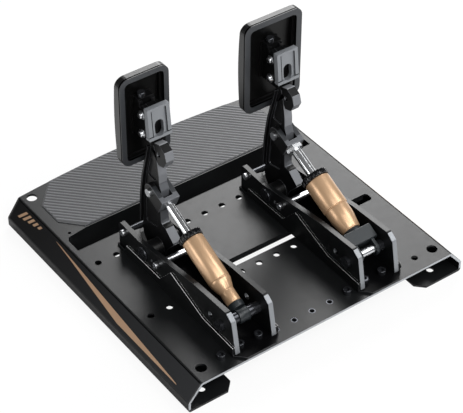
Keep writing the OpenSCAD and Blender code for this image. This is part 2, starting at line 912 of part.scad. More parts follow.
// The light plate behind the carrier, with side ribs and an oblong hole
module back_plate() {
    rib_w = 5.5;
    rib_h = 1.6;
    bar_h = 4;
    lip_t = 2.5;
    slot_r = 5.7;
    slot_h = 20;
    mid_z = (carrier_low_z + carrier_high_z) / 2;
    color(plate_grey)
    translate([0, carrier_rear_y, mid_z])
        rotate([plate_lean, 0, 0])
            difference() {
                union() {
                    pad_block(plate_w, plate_h, 3, 0, plate_t, plate_dz);
                    both_sides()
                        translate([(plate_w - rib_w) / 2, 0, 2])
                            pad_block(rib_w, plate_h - 5, 1.5, 0, plate_t + rib_h, plate_dz);
                    pad_block(plate_w, lip_t, 0.8, 0, plate_t + rib_h, plate_dz + (plate_h - lip_t) / 2);
                    pad_block(plate_w + 1, bar_h, 1, 0, plate_t + rib_h, plate_dz + (bar_h - plate_h) / 2);
                }
                translate([0, -over, plate_dz - 7.4])
                    rotate([-90, 0, 0])
                        linear_extrude(plate_t + 3 * over)
                            polygon(rounded(box_pts(2 * slot_r, slot_h), [for (i = [1:4]) slot_r - 0.01]));
            }
}

module pad_bolts() {
    color(bright) {
        for (p = [bolt_low, bolt_high]) {
            translate([carrier_w / 2, p.x, p.y])
                rotate([0, 90, 0])
                    domed_bolt(small_screw_d, carrier_w + 5);
            translate([-carrier_w / 2 - 4, p.x, p.y])
                rotate([0, 90, 0])
                    hex_nut(small_screw_d, nut_af(small_screw_d), 4);
        }
        // Screws from the pad's face into the carrier
        for (dz = pad_screw_dz)
            translate([0, face_y + crown_drop(dz) + 0.2, pad_mid_z + dz])
                rotate([-90, 0, 0])
                    cylinder(r = small_screw_d / 2,
                        h = carrier_front_y + pad_screw_depth - face_y - crown_drop(dz) - 0.2);
    }
}

module height_screw() {
    head_r = carrier_base_t / 2;
    color(steel_black)
    translate([knob_x, carrier_front_y + carrier_base_t / 2, carrier_high_z + 3]) {
        rotate_extrude()
            polygon(rounded([[0, 0], [head_r, 0], [head_r, 6], [0, 6]], [0, 0.5, 1.5, 0]));
        translate([0, 0, -16])
            cylinder(r = small_screw_d / 2, h = 17);
    }
}

// Dampers

module fork(rod_d) {
    ear_in = arm_half + side_gap;
    ear = rounded([
        [-fork_h / 2, fork_bar_z],
        [fork_h / 2, fork_bar_z],
        [fork_h / 2, damper_l + fork_h / 2],
        [-fork_h / 2, damper_l + fork_h / 2]
    ], [1, 1, fork_h / 2 - 0.5, fork_h / 2 - 0.5]);
    color(pad_grey)
    on_damper()
        difference() {
            union() {
                for (x = [ear_in, -fork_w / 2])
                    plate_yz(x, fork_w / 2 - ear_in, ear);
                plate_yz(-fork_w / 2, fork_w, rounded([
                    [-fork_h / 2, fork_bar_z],
                    [fork_h / 2, fork_bar_z],
                    [fork_h / 2, fork_bar_z + fork_bar_t],
                    [-fork_h / 2, fork_bar_z + fork_bar_t]
                ], [1, 1, 0, 0]));
            }
            bar_x([0, damper_l], pin_r + fit, -fork_w, fork_w);
            translate([0, 0, fork_bar_z - over])
                cylinder(r = rod_d / 2 - 2 + fit, h = fork_bar_t + 2 * over);
        }
}

module fork_pin_piece() {
    half = fork_w / 2;
    color(bright)
    on_damper() {
        bar_x([0, damper_l], pin_r, -half - 2, half + 0.5);
        bar_x([0, damper_l], pin_r + pin_lip, half, half + 3);
        ring_x([0, damper_l], pin_r + fit, pin_r + pin_lip, -half - 1.5, -half);
    }
}

module rod(rod_d) {
    color(bright)
    on_damper() {
        translate([0, 0, piston_top])
            cylinder(r = rod_d / 2, h = fork_bar_z - piston_top);
        translate([0, 0, piston_top - piston_t])
            cylinder(r = rod_d / 2 - 2, h = fork_bar_z - piston_top + piston_t + fork_bar_t);
    }
}

module piston(body_d, rod_d) {
    color(bright)
    on_damper()
        translate([0, 0, piston_top - piston_t])
            difference() {
                cylinder(r = body_d / 2 - wall_t - fit, h = piston_t);
                translate([0, 0, -over])
                    cylinder(r = rod_d / 2 - 2 + fit, h = piston_t + 2 * over);
            }
}

module preload_ring(body_d) {
    r = body_d / 2 + ring_lip;
    color(steel_black)
    on_damper()
        translate([0, 0, ring_z + side_gap])
            difference() {
                cylinder(r = r, h = ring_t - side_gap);
                translate([0, 0, -over])
                    cylinder(r = body_d / 2 - 3 + fit, h = ring_t + 2 * over);
                for (i = [0:ring_notches - 1])
                    rotate([0, 0, i * 360 / ring_notches])
                        translate([r + 0.4, 0, -over])
                            cylinder(r = 1.6, h = ring_t + 2 * over, $fn = 24);
            }
}

// The damper tube, with a collar, a cone and a neck at its lower end
module damper_body(body_d, collar_d, rod_d, ends) {
    r = body_d / 2;
    r_collar = collar_d / 2;
    r_neck = r - (ends[3] - ends[2]) / 14;
    color(copper)
    on_damper()
        rotate_extrude()
            polygon([
                [0, ends[0]],
                [r_collar - 0.8, ends[0]],
                [r_collar, ends[0] + 0.8],
                [r_collar, ends[1] - 0.8],
                [r_collar - 0.5, ends[1] - 0.4],
                [r_collar, ends[1]],
                [r_neck, ends[2]],
                [r_neck, ends[3] - 0.8],
                [r_neck - 0.5, ends[3] - 0.4],
                [r_neck, ends[3]],
                [r, ends[3] + 0.5],
                [r, ring_z - 1],
                [r - 1, ring_z],
                [r - 3, ring_z],
                [r - 3, ring_z + ring_t],
                [rod_d / 2 + fit, ring_z + ring_t],
                [rod_d / 2 + fit, ring_z - gland_t],
                [r - wall_t, ring_z - gland_t],
                [r - wall_t, ends[2]],
                [0, ends[2]]
            ]);
}

// Rubber discs in the bottom of a damper tube
module rubber_stack(body_d, ends, stroke, n) {
    disc = (piston_top - piston_t - stroke - ends[2]) / n;
    color(rubber_black)
    on_damper()
        for (i = [0:n - 1])
            translate([0, 0, ends[2] + i * disc])
                cylinder(r = body_d / 2 - wall_t - 0.5, h = disc - 0.2);
}

module throttle_body() {
    damper_body(throttle_body_d, throttle_collar_d, throttle_rod_d, throttle_tube);
}

module brake_body() {
    damper_body(brake_body_d, brake_collar_d, brake_rod_d, brake_tube);
}

module throttle_stop_disc() {
    rubber_stack(throttle_body_d, throttle_tube, throttle_stroke, 1);
}

module brake_discs() {
    rubber_stack(brake_body_d, brake_tube, brake_stroke, 3);
}

// Rod end with a round collar and an eye on the lower pin
module rod_end(z1) {
    collar_r = throttle_collar_d / 2 + 0.75;
    collar_low = eye_r - 0.9;
    color(rod_end_grey)
    on_damper()
        difference() {
            union() {
                bar_x([0, 0], eye_r, -eye_w / 2, eye_w / 2);
                rotate_extrude()
                    polygon(rounded([[0, collar_low], [collar_r, collar_low], [collar_r, z1], [0, z1]],
                        [0, 1, 1, 0]));
            }
            bar_x([0, 0], pin_r + fit, -eye_w, eye_w);
        }
}

// Force sensor block under the brake's tube, with two ears on the lower pin
module load_cell(z1) {
    high = z1 - cell_neck_h;
    low = high - cell_size.z;
    ear = rounded([
        [-cell_ear_r, -cell_ear_r],
        [cell_ear_r, -cell_ear_r],
        [cell_ear_r, low + 1],
        [-cell_ear_r, low + 1]
    ], [cell_ear_r - 0.5, cell_ear_r - 0.5, 0, 0]);
    color(cell_grey)
    on_damper()
        difference() {
            union() {
                both_sides()
                    plate_yz(cell_fork_gap / 2, cell_ear_t, ear);
                plate_yz(-cell_size.x / 2, cell_size.x, rounded([
                    [-cell_size.y / 2, low],
                    [cell_size.y / 2, low],
                    [cell_size.y / 2, high],
                    [-cell_size.y / 2, high]
                ], [1.5, 1.5, 1.5, 1.5]));
                translate([0, 0, high - 0.5])
                    cylinder(r = brake_collar_d / 2 - 1.5, h = cell_neck_h + 0.5);
            }
            bar_x([0, 0], pin_r + fit, -cell_size.x, cell_size.x);
            for (y = [-5, 5])
                bar_x([y, low + cell_size.z / 2], 3.5, -cell_size.x, cell_size.x);
            translate([-cell_size.x, -5, low + cell_size.z / 2 - 1])
                cube([2 * cell_size.x, 10, 2]);
        }
}

// Tube on the lower pin between the sensor block's ears
module pin_bush() {
    half = cell_fork_gap / 2 - side_gap;
    color(bright)
        ring_x(lower_pin, pin_r + fit, pin_r + 1.5, -half, half);
}

module lower_pin_piece() {
    color(bright) {
        bar_x(lower_pin, pin_r, -cheek_out - 4, cheek_out + 0.5);
        bar_x(lower_pin, pin_r + 3, cheek_out, cheek_out + 4);
        ring_x(lower_pin, pin_r + fit, pin_r + 3, -cheek_out - 3.5, -cheek_out);
    }
}

// Spacers on the lower pin, from x0 out to the cheeks
module spacers(x0) {
    color(bright)
    both_sides()
        ring_x(lower_pin, pin_r + fit, pin_r + 3, x0 + side_gap, cheek_in);
}

// A nut that locks the brake's fork on its rod
module jam_nut() {
    color(bright)
    on_damper()
        translate([0, 0, fork_bar_z - 5])
            hex_nut(brake_rod_d, 19, 5);
}

base_plate();
cross_channel();
channel_screws();
heel_mat();
plate_screws();
rear_row_nuts();
at(throttle_x) bracket(throttle_x, throttle_holes);  // throttle_bracket
at(throttle_x) cheek(1);  // throttle_outer_cheek
at(throttle_x) cheek(-1);  // throttle_inner_cheek
at(throttle_x) floor_screws(throttle_x, throttle_holes);  // throttle_floor_screws
at(throttle_x) cross_bar(stop_bar);  // throttle_stop_bar
at(throttle_x) cross_bar(rest_bar);  // throttle_rest_bar
at(throttle_x) bar_screws();  // throttle_bar_screws
at(throttle_x) pivot_shaft();  // throttle_pivot_shaft
at(throttle_x) shaft_rings();  // throttle_shaft_rings
at(throttle_x) hub_bushes();  // throttle_hub_bushes
at(throttle_x) arm();  // throttle_arm
at(throttle_x) pad(throttle_pad_w, throttle_pad_h, throttle_pad_rim);  // throttle_pad
at(throttle_x) pad_carrier();  // throttle_pad_carrier
at(throttle_x) back_plate();  // throttle_back_plate
at(throttle_x) pad_bolts();  // throttle_pad_bolts
at(throttle_x) height_screw();  // throttle_height_screw
at(throttle_x) fork(throttle_rod_d);  // throttle_fork
at(throttle_x) fork_pin_piece();  // throttle_fork_pin
at(throttle_x) rod(throttle_rod_d);  // throttle_rod
at(throttle_x) piston(throttle_body_d, throttle_rod_d);  // throttle_piston
at(throttle_x) preload_ring(throttle_body_d);  // throttle_preload_ring
at(throttle_x) throttle_body();  // throttle_damper_body
at(throttle_x) throttle_stop_disc();  // throttle_bump_stop
at(throttle_x) rod_end(throttle_tube[0]);  // throttle_rod_end
at(throttle_x) lower_pin_piece();  // throttle_lower_pin
at(throttle_x) spacers(eye_w / 2);  // throttle_spacers
at(brake_x) bracket(brake_x, brake_holes);  // brake_bracket
at(brake_x) cheek(1);  // brake_outer_cheek
at(brake_x) cheek(-1);  // brake_inner_cheek
at(brake_x) floor_screws(brake_x, brake_holes);  // brake_floor_screws
at(brake_x) cross_bar(stop_bar);  // brake_stop_bar
at(brake_x) cross_bar(rest_bar);  // brake_rest_bar
at(brake_x) bar_screws();  // brake_bar_screws
at(brake_x) pivot_shaft();  // brake_pivot_shaft
at(brake_x) shaft_rings();  // brake_shaft_rings
at(brake_x) hub_bushes();  // brake_hub_bushes
at(brake_x) arm();  // brake_arm
at(brake_x) pad(brake_pad_w, brake_pad_h, brake_pad_rim);  // brake_pad
at(brake_x) pad_carrier();  // brake_pad_carrier
at(brake_x) back_plate();  // brake_back_plate
at(brake_x) pad_bolts();  // brake_pad_bolts
at(brake_x) height_screw();  // brake_height_screw
at(brake_x) fork(brake_rod_d);  // brake_fork
at(brake_x) fork_pin_piece();  // brake_fork_pin
at(brake_x) rod(brake_rod_d);  // brake_rod
at(brake_x) piston(brake_body_d, brake_rod_d);  // brake_piston
at(brake_x) jam_nut();  // brake_jam_nut
at(brake_x) preload_ring(brake_body_d);  // brake_preload_ring
at(brake_x) brake_body();  // brake_damper_body
at(brake_x) brake_discs();  // brake_elastomers
at(brake_x) load_cell(brake_tube[0]);  // brake_load_cell
at(brake_x) pin_bush();  // brake_pin_bush
at(brake_x) lower_pin_piece();  // brake_lower_pin
at(brake_x) spacers(cell_fork_gap / 2 + cell_ear_t);  // brake_spacers
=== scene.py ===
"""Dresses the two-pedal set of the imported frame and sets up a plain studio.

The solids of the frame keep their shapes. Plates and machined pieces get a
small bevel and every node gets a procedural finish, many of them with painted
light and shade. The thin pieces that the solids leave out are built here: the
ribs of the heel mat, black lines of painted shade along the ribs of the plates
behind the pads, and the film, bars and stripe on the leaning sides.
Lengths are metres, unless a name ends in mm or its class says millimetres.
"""

from __future__ import annotations

import logging
import math
from dataclasses import dataclass, field, fields
from enum import Enum

import bpy
import numpy as np
from mathutils import Matrix, Vector


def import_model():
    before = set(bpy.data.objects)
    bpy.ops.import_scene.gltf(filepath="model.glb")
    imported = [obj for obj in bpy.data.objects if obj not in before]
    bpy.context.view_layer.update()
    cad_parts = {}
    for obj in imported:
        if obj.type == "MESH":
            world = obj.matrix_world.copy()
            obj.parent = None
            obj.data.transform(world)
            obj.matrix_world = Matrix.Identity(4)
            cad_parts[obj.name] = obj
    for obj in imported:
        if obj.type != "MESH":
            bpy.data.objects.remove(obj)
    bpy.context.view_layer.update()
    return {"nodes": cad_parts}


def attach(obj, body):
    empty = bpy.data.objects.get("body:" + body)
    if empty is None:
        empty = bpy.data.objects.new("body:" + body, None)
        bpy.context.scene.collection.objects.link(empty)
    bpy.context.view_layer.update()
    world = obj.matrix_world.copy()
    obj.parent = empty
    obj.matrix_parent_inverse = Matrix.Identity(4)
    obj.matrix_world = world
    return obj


LOG = logging.getLogger("pedal_set")
MM = 0.001
# Width of the soft clouds of colour, and of the patches of roughness
CLOUD_MM = 18.0
PATCH_MM = 9.0
# A bound past every point of the set, in millimetres, so no bound at all
FAR = 1000.0


class Pedal(Enum):
    """The two pedals, by the names that start their nodes."""

    THROTTLE = "throttle"
    BRAKE = "brake"


class Flank(Enum):
    """The two leaning sides of the base, by the sign of their X."""

    RIGHT = 1
    LEFT = -1

    @property
    def word(self) -> str:
        """The side's word in the names of its pieces."""
        return self.name.lower()


class Probe(Enum):
    """What a test reads at a point of a surface."""

    NORMAL = "facing"
    PLACE = "place"


def linear(hex_colour: str) -> tuple[float, float, float, float]:
    """Turns an sRGB hex colour to linear light.

    Args:
        hex_colour: Six hex digits, with or without a hash sign.

    Returns:
        Red, green, blue and an alpha of one.
    """
    text = hex_colour.lstrip("#")
    srgb = np.array([int(text[i : i + 2], 16) for i in (0, 2, 4)]) / 255.0
    value = np.where(srgb <= 0.04045, srgb / 12.92, ((srgb + 0.055) / 1.055) ** 2.4)
    return (float(value[0]), float(value[1]), float(value[2]), 1.0)


def add_node(
    tree: bpy.types.NodeTree,
    kind: str,
    settings: dict[str | int, object] | None = None,
    links: dict[str | int, bpy.types.NodeSocket] | None = None,
    **attributes: object,
) -> bpy.types.Node:
    """Adds one node with its settings and links.

    Args:
        tree: The node tree that takes the node.
        kind: The node's type name.
        settings: Input socket name or index to default value.
        links: Input socket name or index to the socket that feeds it.
        attributes: The node's own properties, such as operation.

    Returns:
        The new node.
    """
    node = tree.nodes.new(kind)
    for name, value in attributes.items():
        setattr(node, name, value)
    for name, value in (settings or {}).items():
        node.inputs[name].default_value = value
    for name, socket in (links or {}).items():
        tree.links.new(socket, node.inputs[name])
    return node


def vertices_of(obj: bpy.types.Object) -> np.ndarray:
    """Reads the points of a mesh object.

    Args:
        obj: The object.

    Returns:
        One point in metres in each row.
    """
    flat = np.empty(3 * len(obj.data.vertices))
    obj.data.vertices.foreach_get("co", flat)
    return flat.reshape(-1, 3)


def add_piece(
    name: str,
    points: np.ndarray,
    faces: np.ndarray,
    body: str,
    material: bpy.types.Material,
) -> None:
    """Makes a new piece of the set from its points and faces.

    Args:
        name: The piece's name.
        points: One point in metres in each row.
        faces: The point numbers of one face in each row.
        body: The body that it rides on.
        material: Its finish.
    """
    mesh = bpy.data.meshes.new(name)
    mesh.from_pydata(points.tolist(), [], faces.tolist())
    mesh.validate()
    mesh.materials.append(material)
    piece = bpy.data.objects.new(name, mesh)
    bpy.context.scene.collection.objects.link(piece)
    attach(piece, body)
    LOG.info("piece %s rides on %s", name, body)


@dataclass(frozen=True)
class Test:
    """One condition on a point: a number read from it lies between two bounds.

    Attributes:
        probe: Whether the surface's normal or its place is read.
        axis: Which of its three numbers.
        above: Lower bound, in millimetres for a place.
        below: Upper bound, in millimetres for a place.
    """

    probe: Probe
    axis: str
    above: float = -FAR
    below: float = FAR

    def inside(
        self, tree: bpy.types.NodeTree, sources: dict[Probe, bpy.types.Node]
    ) -> bpy.types.NodeSocket:
        """Compares the number with the middle of the bounds, within half their span.

        Args:
            tree: The material's node tree.
            sources: The split normal and the split place.

        Returns:
            One between the bounds and zero elsewhere.
        """
        unit = MM if self.probe is Probe.PLACE else 1.0
        middle, half = (self.above + self.below) / 2.0, (self.below - self.above) / 2.0
        return add_node(
            tree, "ShaderNodeMath", {1: middle * unit, 2: half * unit},
            {0: sources[self.probe].outputs[self.axis]}, operation="COMPARE",
        ).outputs[0]


@dataclass(frozen=True)
class Layer:
    """A second tone of a finish, painted light or shade, on the points that pass every test.

    Attributes:
        colour: sRGB hex of the tone.
        tests: The conditions.
        metallic: How metallic it is.
        specular: Its specular level.
    """

    colour: str
    tests: tuple[Test, ...]
    metallic: float = 0.3
    specular: float = 0.35

    def mask(
        self, tree: bpy.types.NodeTree, sources: dict[Probe, bpy.types.Node]
    ) -> bpy.types.NodeSocket:
        """Multiplies the results of the tests.

        Args:
            tree: The material's node tree.
            sources: The split normal and the split place.

        Returns:
            One where every test passes and zero elsewhere.
        """
        product = self.tests[0].inside(tree, sources)
        for test in self.tests[1:]:
            product = add_node(
                tree, "ShaderNodeMath", links={0: product, 1: test.inside(tree, sources)},
                operation="MULTIPLY",
            ).outputs[0]
        return product


def facing_rear(*more: Test, least: float = 0.55) -> tuple[Test, ...]:
    """Makes the test for faces that look away from the driver, with further tests.

    Args:
        more: The further tests.
        least: Least Y of the normal.

    Returns:
        All the tests, in order.
    """
    return (Test(Probe.NORMAL, "Y", above=least), *more)


@dataclass(frozen=True)
class Finish:
    """A surface finish: base colour, gloss and how fine marks break them up.

    Attributes:
        name: The material's name.
        colour: sRGB hex of the clean surface.
        shade: sRGB hex that the clean colour drifts to in soft clouds.
        roughness: Middle roughness.
        spread: How far roughness wanders to each side.
        metallic: One for bare metal, less where dye or oxide dulls it, zero for coats and rubber.
        grain_mm: Size of the grain.
        bump_mm: Height of the grain.
        grain_detail: How many finer sizes the grain mixes in.
        specular: The shader's specular level.
        layers: Further tones of painted light and shade, such as highlights on the faces towards the
            rear, each over the last.
    """

    name: str
    colour: str
    shade: str
    roughness: float
    spread: float = 0.05
    metallic: float = 0.0
    grain_mm: float = 1.2
    bump_mm: float = 0.01
    grain_detail: float = 2.0
    specular: float = 0.5
    layers: tuple[Layer, ...] = ()

    def build(self) -> bpy.types.Material:
        """Builds the material.

        Returns:
            A node material with clouded colour, wandering roughness and grain.
        """
        material = bpy.data.materials.new(self.name)
        material.use_nodes = True
        tree = material.node_tree
        tree.nodes.clear()
        place = add_node(tree, "ShaderNodeTexCoord").outputs["Object"]
        shader = add_node(
            tree, "ShaderNodeBsdfPrincipled",
            {"Metallic": self.metallic, "Specular IOR Level": self.specular},
            {"Roughness": self.gloss_nodes(tree, place), "Normal": self.grain_nodes(tree, place)},
        )
        add_node(tree, "ShaderNodeOutputMaterial", links={"Surface": shader.outputs[0]})
        colour = self.colour_nodes(tree, place)
        if self.layers:
            colour = self.layer_nodes(tree, place, shader, colour)
        tree.links.new(colour, shader.inputs["Base Color"])
        return material

    def colour_nodes(
        self, tree: bpy.types.NodeTree, place: bpy.types.NodeSocket
    ) -> bpy.types.NodeSocket:
        """Adds the colour, which drifts to its shade and back in soft clouds.

        Args:
            tree: The material's node tree.
            place: The piece's own coordinates.

        Returns:
            The colour.
        """
        cloud = add_node(
            tree, "ShaderNodeTexNoise",
            {"Scale": 1.0 / (CLOUD_MM * MM), "Detail": 3.0, "Roughness": 0.55}, {"Vector": place},
        )
        return add_node(
            tree, "ShaderNodeMix", {"A": linear(self.colour), "B": linear(self.shade)},
            {"Factor": cloud.outputs["Fac"]}, data_type="RGBA",
        ).outputs["Result"]

    def layer_nodes(
        self,
        tree: bpy.types.NodeTree,
        place: bpy.types.NodeSocket,
        shader: bpy.types.Node,
        colour: bpy.types.NodeSocket,
    ) -> bpy.types.NodeSocket:
        """Lays each further tone over the last, with its own metal and gloss.

        Each level runs from the last one to the layer's by the layer's mask.
        A level that no layer changes stays on the shader's own socket.

        Args:
            tree: The material's node tree.
            place: The piece's own coordinates.
            shader: The shader, whose metallic and specular follow the layers.
            colour: The first tone.

        Returns:
            The mixed colour.
        """
        facing = add_node(tree, "ShaderNodeNewGeometry").outputs["Normal"]
        sources = {
            Probe.NORMAL: add_node(tree, "ShaderNodeSeparateXYZ", links={"Vector": facing}),
            Probe.PLACE: add_node(tree, "ShaderNodeSeparateXYZ", links={"Vector": place}),
        }
        masks = [layer.mask(tree, sources) for layer in self.layers]
        for layer, mask in zip(self.layers, masks):
            colour = add_node(
                tree, "ShaderNodeMix", {"B": linear(layer.colour)}, {"Factor": mask, "A": colour},
                data_type="RGBA",
            ).outputs["Result"]
        for socket, first, levels in (
            ("Metallic", self.metallic, [layer.metallic for layer in self.layers]),
            ("Specular IOR Level", self.specular, [layer.specular for layer in self.layers]),
        ):
            if all(level == first for level in levels):
                continue
            last: dict[str, bpy.types.NodeSocket] = {}
            for level, mask in zip(levels, masks):
                span = add_node(
                    tree, "ShaderNodeMapRange", {"To Min": first, "To Max": level},
                    {"Value": mask, **last},
                )
                last = {"To Min": span.outputs["Result"]}
            tree.links.new(last["To Min"], shader.inputs[socket])
        return colour

    def gloss_nodes(
        self, tree: bpy.types.NodeTree, place: bpy.types.NodeSocket
    ) -> bpy.types.NodeSocket:
        """Adds roughness that wanders over about a centimetre.

        Args:
            tree: The material's node tree.
            place: The piece's own coordinates.

        Returns:
            The roughness.
        """
        wander = add_node(
            tree, "ShaderNodeTexNoise",
            {"Scale": 1.0 / (PATCH_MM * MM), "Detail": 4.0, "Roughness": 0.6}, {"Vector": place},
        )
        return add_node(
            tree, "ShaderNodeMapRange",
            {"To Min": self.roughness - self.spread, "To Max": self.roughness + self.spread},
            {"Value": wander.outputs["Fac"]},
        ).outputs["Result"]

    def grain_nodes(
        self, tree: bpy.types.NodeTree, place: bpy.types.NodeSocket
    ) -> bpy.types.NodeSocket:
        """Adds the fine relief of the surface.

        Args:
            tree: The material's node tree.
            place: The piece's own coordinates.

        Returns:
            The bumped normal.
        """
        grain = add_node(
            tree, "ShaderNodeTexNoise",
            {"Scale": 1.0 / (self.grain_mm * MM), "Detail": self.grain_detail}, {"Vector": place},
        )
        return add_node(
            tree, "ShaderNodeBump", {"Strength": 1.0, "Distance": self.bump_mm * MM},
            {"Height": grain.outputs["Fac"]},
        ).outputs["Normal"]


@dataclass(frozen=True)
class FadedFinish(Finish):
    """A finish whose clean colour runs to its shade along the Y axis, in one tone.

    Attributes:
        fade_mm: Where the run starts and ends.
    """

    fade_mm: tuple[float, float] = (-150.0, 190.0)

    def colour_nodes(
        self, tree: bpy.types.NodeTree, place: bpy.types.NodeSocket
    ) -> bpy.types.NodeSocket:
        """Adds the run of colour, by the share of the way along it.

        Args:
            tree: The material's node tree.
            place: The piece's own coordinates.

        Returns:
            The colour.
        """
        spot = add_node(tree, "ShaderNodeSeparateXYZ", links={"Vector": place})
        share = add_node(
            tree, "ShaderNodeMapRange",
            {"From Min": self.fade_mm[0] * MM, "From Max": self.fade_mm[1] * MM},
            {"Value": spot.outputs["Y"]},
        )
        return add_node(
            tree, "ShaderNodeMix", {"A": linear(self.colour), "B": linear(self.shade)},
            {"Factor": share.outputs["Result"]}, data_type="RGBA",
        ).outputs["Result"]


@dataclass(frozen=True)
class Palette:
    """Every finish of the pedal set. Most are named for the real material.

    The tones of the layers, and the run of the film's colour, were fitted to
    how light the photograph shows those faces. The layers are painted light and
    shade, and part of the film's run may be its light.
    The grain of coated, anodised and plated metal is finer than can show, so
    it is drawn at half a millimetre or more.
    """

    # Powder coat on folded steel: satin, slightly pebbled. Faces towards +X are
    # painted darker as shade, and the faces towards the rear, on the rear end
    # above its foot, are painted light as a highlight
    powder_coat: Finish = Finish(
        "powder_coated_steel", "#101112", "#161718", 0.36, 0.06,
        grain_mm=0.9, bump_mm=0.008, specular=0.3,
        layers=(
            Layer("#0c0c0d", (Test(Probe.NORMAL, "X", above=0.9),), metallic=0.0, specular=0.15),
            Layer(
                "#9fa2a6",
                facing_rear(Test(Probe.PLACE, "Y", above=190.0), Test(Probe.PLACE, "Z", above=4.0)),
            ),
        ),
    )
    # The same coat on laser-cut cheeks, whose faces towards the rear are painted light as a highlight
    cut_plate: Finish = Finish(
        "coated_plate_rear_highlight", "#0d0e0f", "#131415", 0.3, 0.06,
        grain_mm=0.9, bump_mm=0.006, specular=0.3,
        layers=(Layer("#7c7f83", facing_rear()),),
    )
    # The same coat on the brackets; the floor between the cheeks is painted darker as shade
    bracket_coat: Finish = Finish(
        "coated_bracket", "#0d0e0f", "#131415", 0.34, 0.06,
        grain_mm=0.9, bump_mm=0.006, specular=0.3,
        layers=(
            Layer(
                "#070708", (Test(Probe.NORMAL, "Z", above=0.9), Test(Probe.PLACE, "Z", below=40.0)),
                metallic=0.0, specular=0.04,
            ),
        ),
    )
    # The brackets' broken edges: painted a little lighter, with a bright painted highlight along the
    # wall tops only
    sheared_edge: Finish = Finish(
        "bracket_painted_rim_highlight", "#26272a", "#2c2d30", 0.34, 0.05, grain_mm=0.5,
        layers=(
            Layer(
                "#f4f5f6", (Test(Probe.NORMAL, "Z", above=0.3), Test(Probe.PLACE, "Z", above=44.0)),
                metallic=0.0, specular=0.5,
            ),
        ),
    )
    # Deep black anodised carriers behind the pads
    deep_black: Finish = Finish(
        "deep_black_anodised", "#090909", "#0e0e0f", 0.36, 0.05,
        grain_mm=0.5, bump_mm=0.006, specular=0.15,
    )
    # Forks: black, with painted light on the faces towards the rear, and more of it on the crossbar
    fork_black: Finish = Finish(
        "fork_black_anodised", "#0e0e0f", "#141415", 0.34, 0.05,
        grain_mm=0.5, bump_mm=0.006, specular=0.3,
        layers=(
            Layer("#2f3134", facing_rear(least=0.35)),
            Layer("#5c5e62", facing_rear(Test(Probe.PLACE, "Y", above=17.0), least=0.35)),
        ),
    )
    # Black anodised aluminium of the arms and pistons: deep black. The arms'
    # faces towards the rear are painted lighter as light falling on them, more so
    # high up, and the upward faces near their tops are painted lightest as a highlight
    black_anodised: Finish = Finish(
        "black_anodised_aluminium", "#0a0a0b", "#101011", 0.34, 0.05,
        grain_mm=0.5, bump_mm=0.006, specular=0.15,
        layers=(
            Layer(
                "#5a5c60",
                facing_rear(Test(Probe.PLACE, "Z", above=66.0), Test(Probe.PLACE, "Y", above=0.0)),
            ),
            Layer(
                "#727478",
                facing_rear(Test(Probe.PLACE, "Z", above=150.0), Test(Probe.PLACE, "Y", above=2.0)),
            ),
            Layer(
                "#9c9ea2",
                (
                    Test(Probe.NORMAL, "Z", above=0.9), Test(Probe.PLACE, "Z", above=190.0),
                    Test(Probe.PLACE, "Y", above=2.0),
                ),
            ),
        ),
    )
    # The pads' anodising: near black. The rim round the hollow back is painted
    # lighter as a highlight, the groove round the side is painted black as shade,
    # and the hollow is painted darker as shade and made duller
    pad_anodised: Finish = Finish(
        "pad_black_anodised", "#0c0c0d", "#121213", 0.3, 0.05,
        grain_mm=0.5, bump_mm=0.006, specular=0.35,
        layers=(
            Layer("#36383b", facing_rear(Test(Probe.PLACE, "Y", above=-23.2))),
            Layer(
                "#020202", (Test(Probe.PLACE, "Y", above=-25.0, below=-23.3),),
                metallic=0.0, specular=0.0,
            ),
            Layer(
                "#080808", facing_rear(Test(Probe.PLACE, "Y", below=-25.0)),
                metallic=0.0, specular=0.12,
            ),
        ),
    )
    # Grey anodised plates behind the pads: lighter, blasted
    grey_anodised: Finish = Finish(
        "grey_anodised_aluminium", "#7c7f83", "#727579", 0.4, 0.05,
        metallic=0.3, grain_mm=0.5, bump_mm=0.006,
    )
    # Copper-coloured anodised aluminium: dyed metal with a soft wide gloss
    copper_anodised: Finish = Finish(
        "copper_anodised_aluminium", "#c8a685", "#bb9875", 0.34, 0.04,
        metallic=0.5, grain_mm=0.5, bump_mm=0.003,
    )
    # Zinc-plated steel: bright, slightly cloudy
    zinc_plate: Finish = Finish(
        "zinc_plated_steel", "#d4d6d9", "#c6c8cb", 0.28, 0.04,
        metallic=1.0, grain_mm=1.5, bump_mm=0.0008,
    )
    # Black oxide on screws, nuts, shafts, pins and spacers: dark, oily gloss
    black_oxide: Finish = Finish(
        "black_oxide_steel", "#393a3e", "#46484c", 0.2, 0.05,
        metallic=0.8, grain_mm=0.6, bump_mm=0.004,
    )
    # Hard chrome on the piston rods: near mirror. The grinding is finer than
    # shows, so it is drawn coarse, as a faint even waver
    hard_chrome: Finish = Finish(
        "hard_chrome_rod", "#eceef0", "#e0e2e5", 0.2, 0.02,
        metallic=1.0, grain_mm=1.2, bump_mm=0.0002, grain_detail=1.0,
    )
    # Dark satin steel of the rod end and the load cell
    dark_steel: Finish = Finish(
        "dark_phosphated_steel", "#1d2124", "#252a2d", 0.4, 0.06,
        metallic=0.3, grain_mm=0.7, bump_mm=0.006,
    )
    # Glossy black anodised rings on the dampers: sharp little highlights
    gloss_black: Finish = Finish(
        "gloss_black_anodised", "#060608", "#0a0a0d", 0.1, 0.03,
        grain_mm=0.5, bump_mm=0.001, specular=0.35,
    )
    # Matte black: painted shade along the ribs of the plates behind the pads, and a line along the
    # film's upper edge that is partly its folded edge, partly painted shade
    black_bead: Finish = Finish(
        "black_bead", "#020202", "#040404", 0.85, 0.05, grain_mm=0.6, specular=0.05
    )
    # Rubber of the heel mat between its ribs: dark and matte
    mat_rubber: Finish = Finish(
        "mat_rubber", "#2b2c2e", "#252628", 0.6, 0.05, grain_mm=0.8, bump_mm=0.02
    )
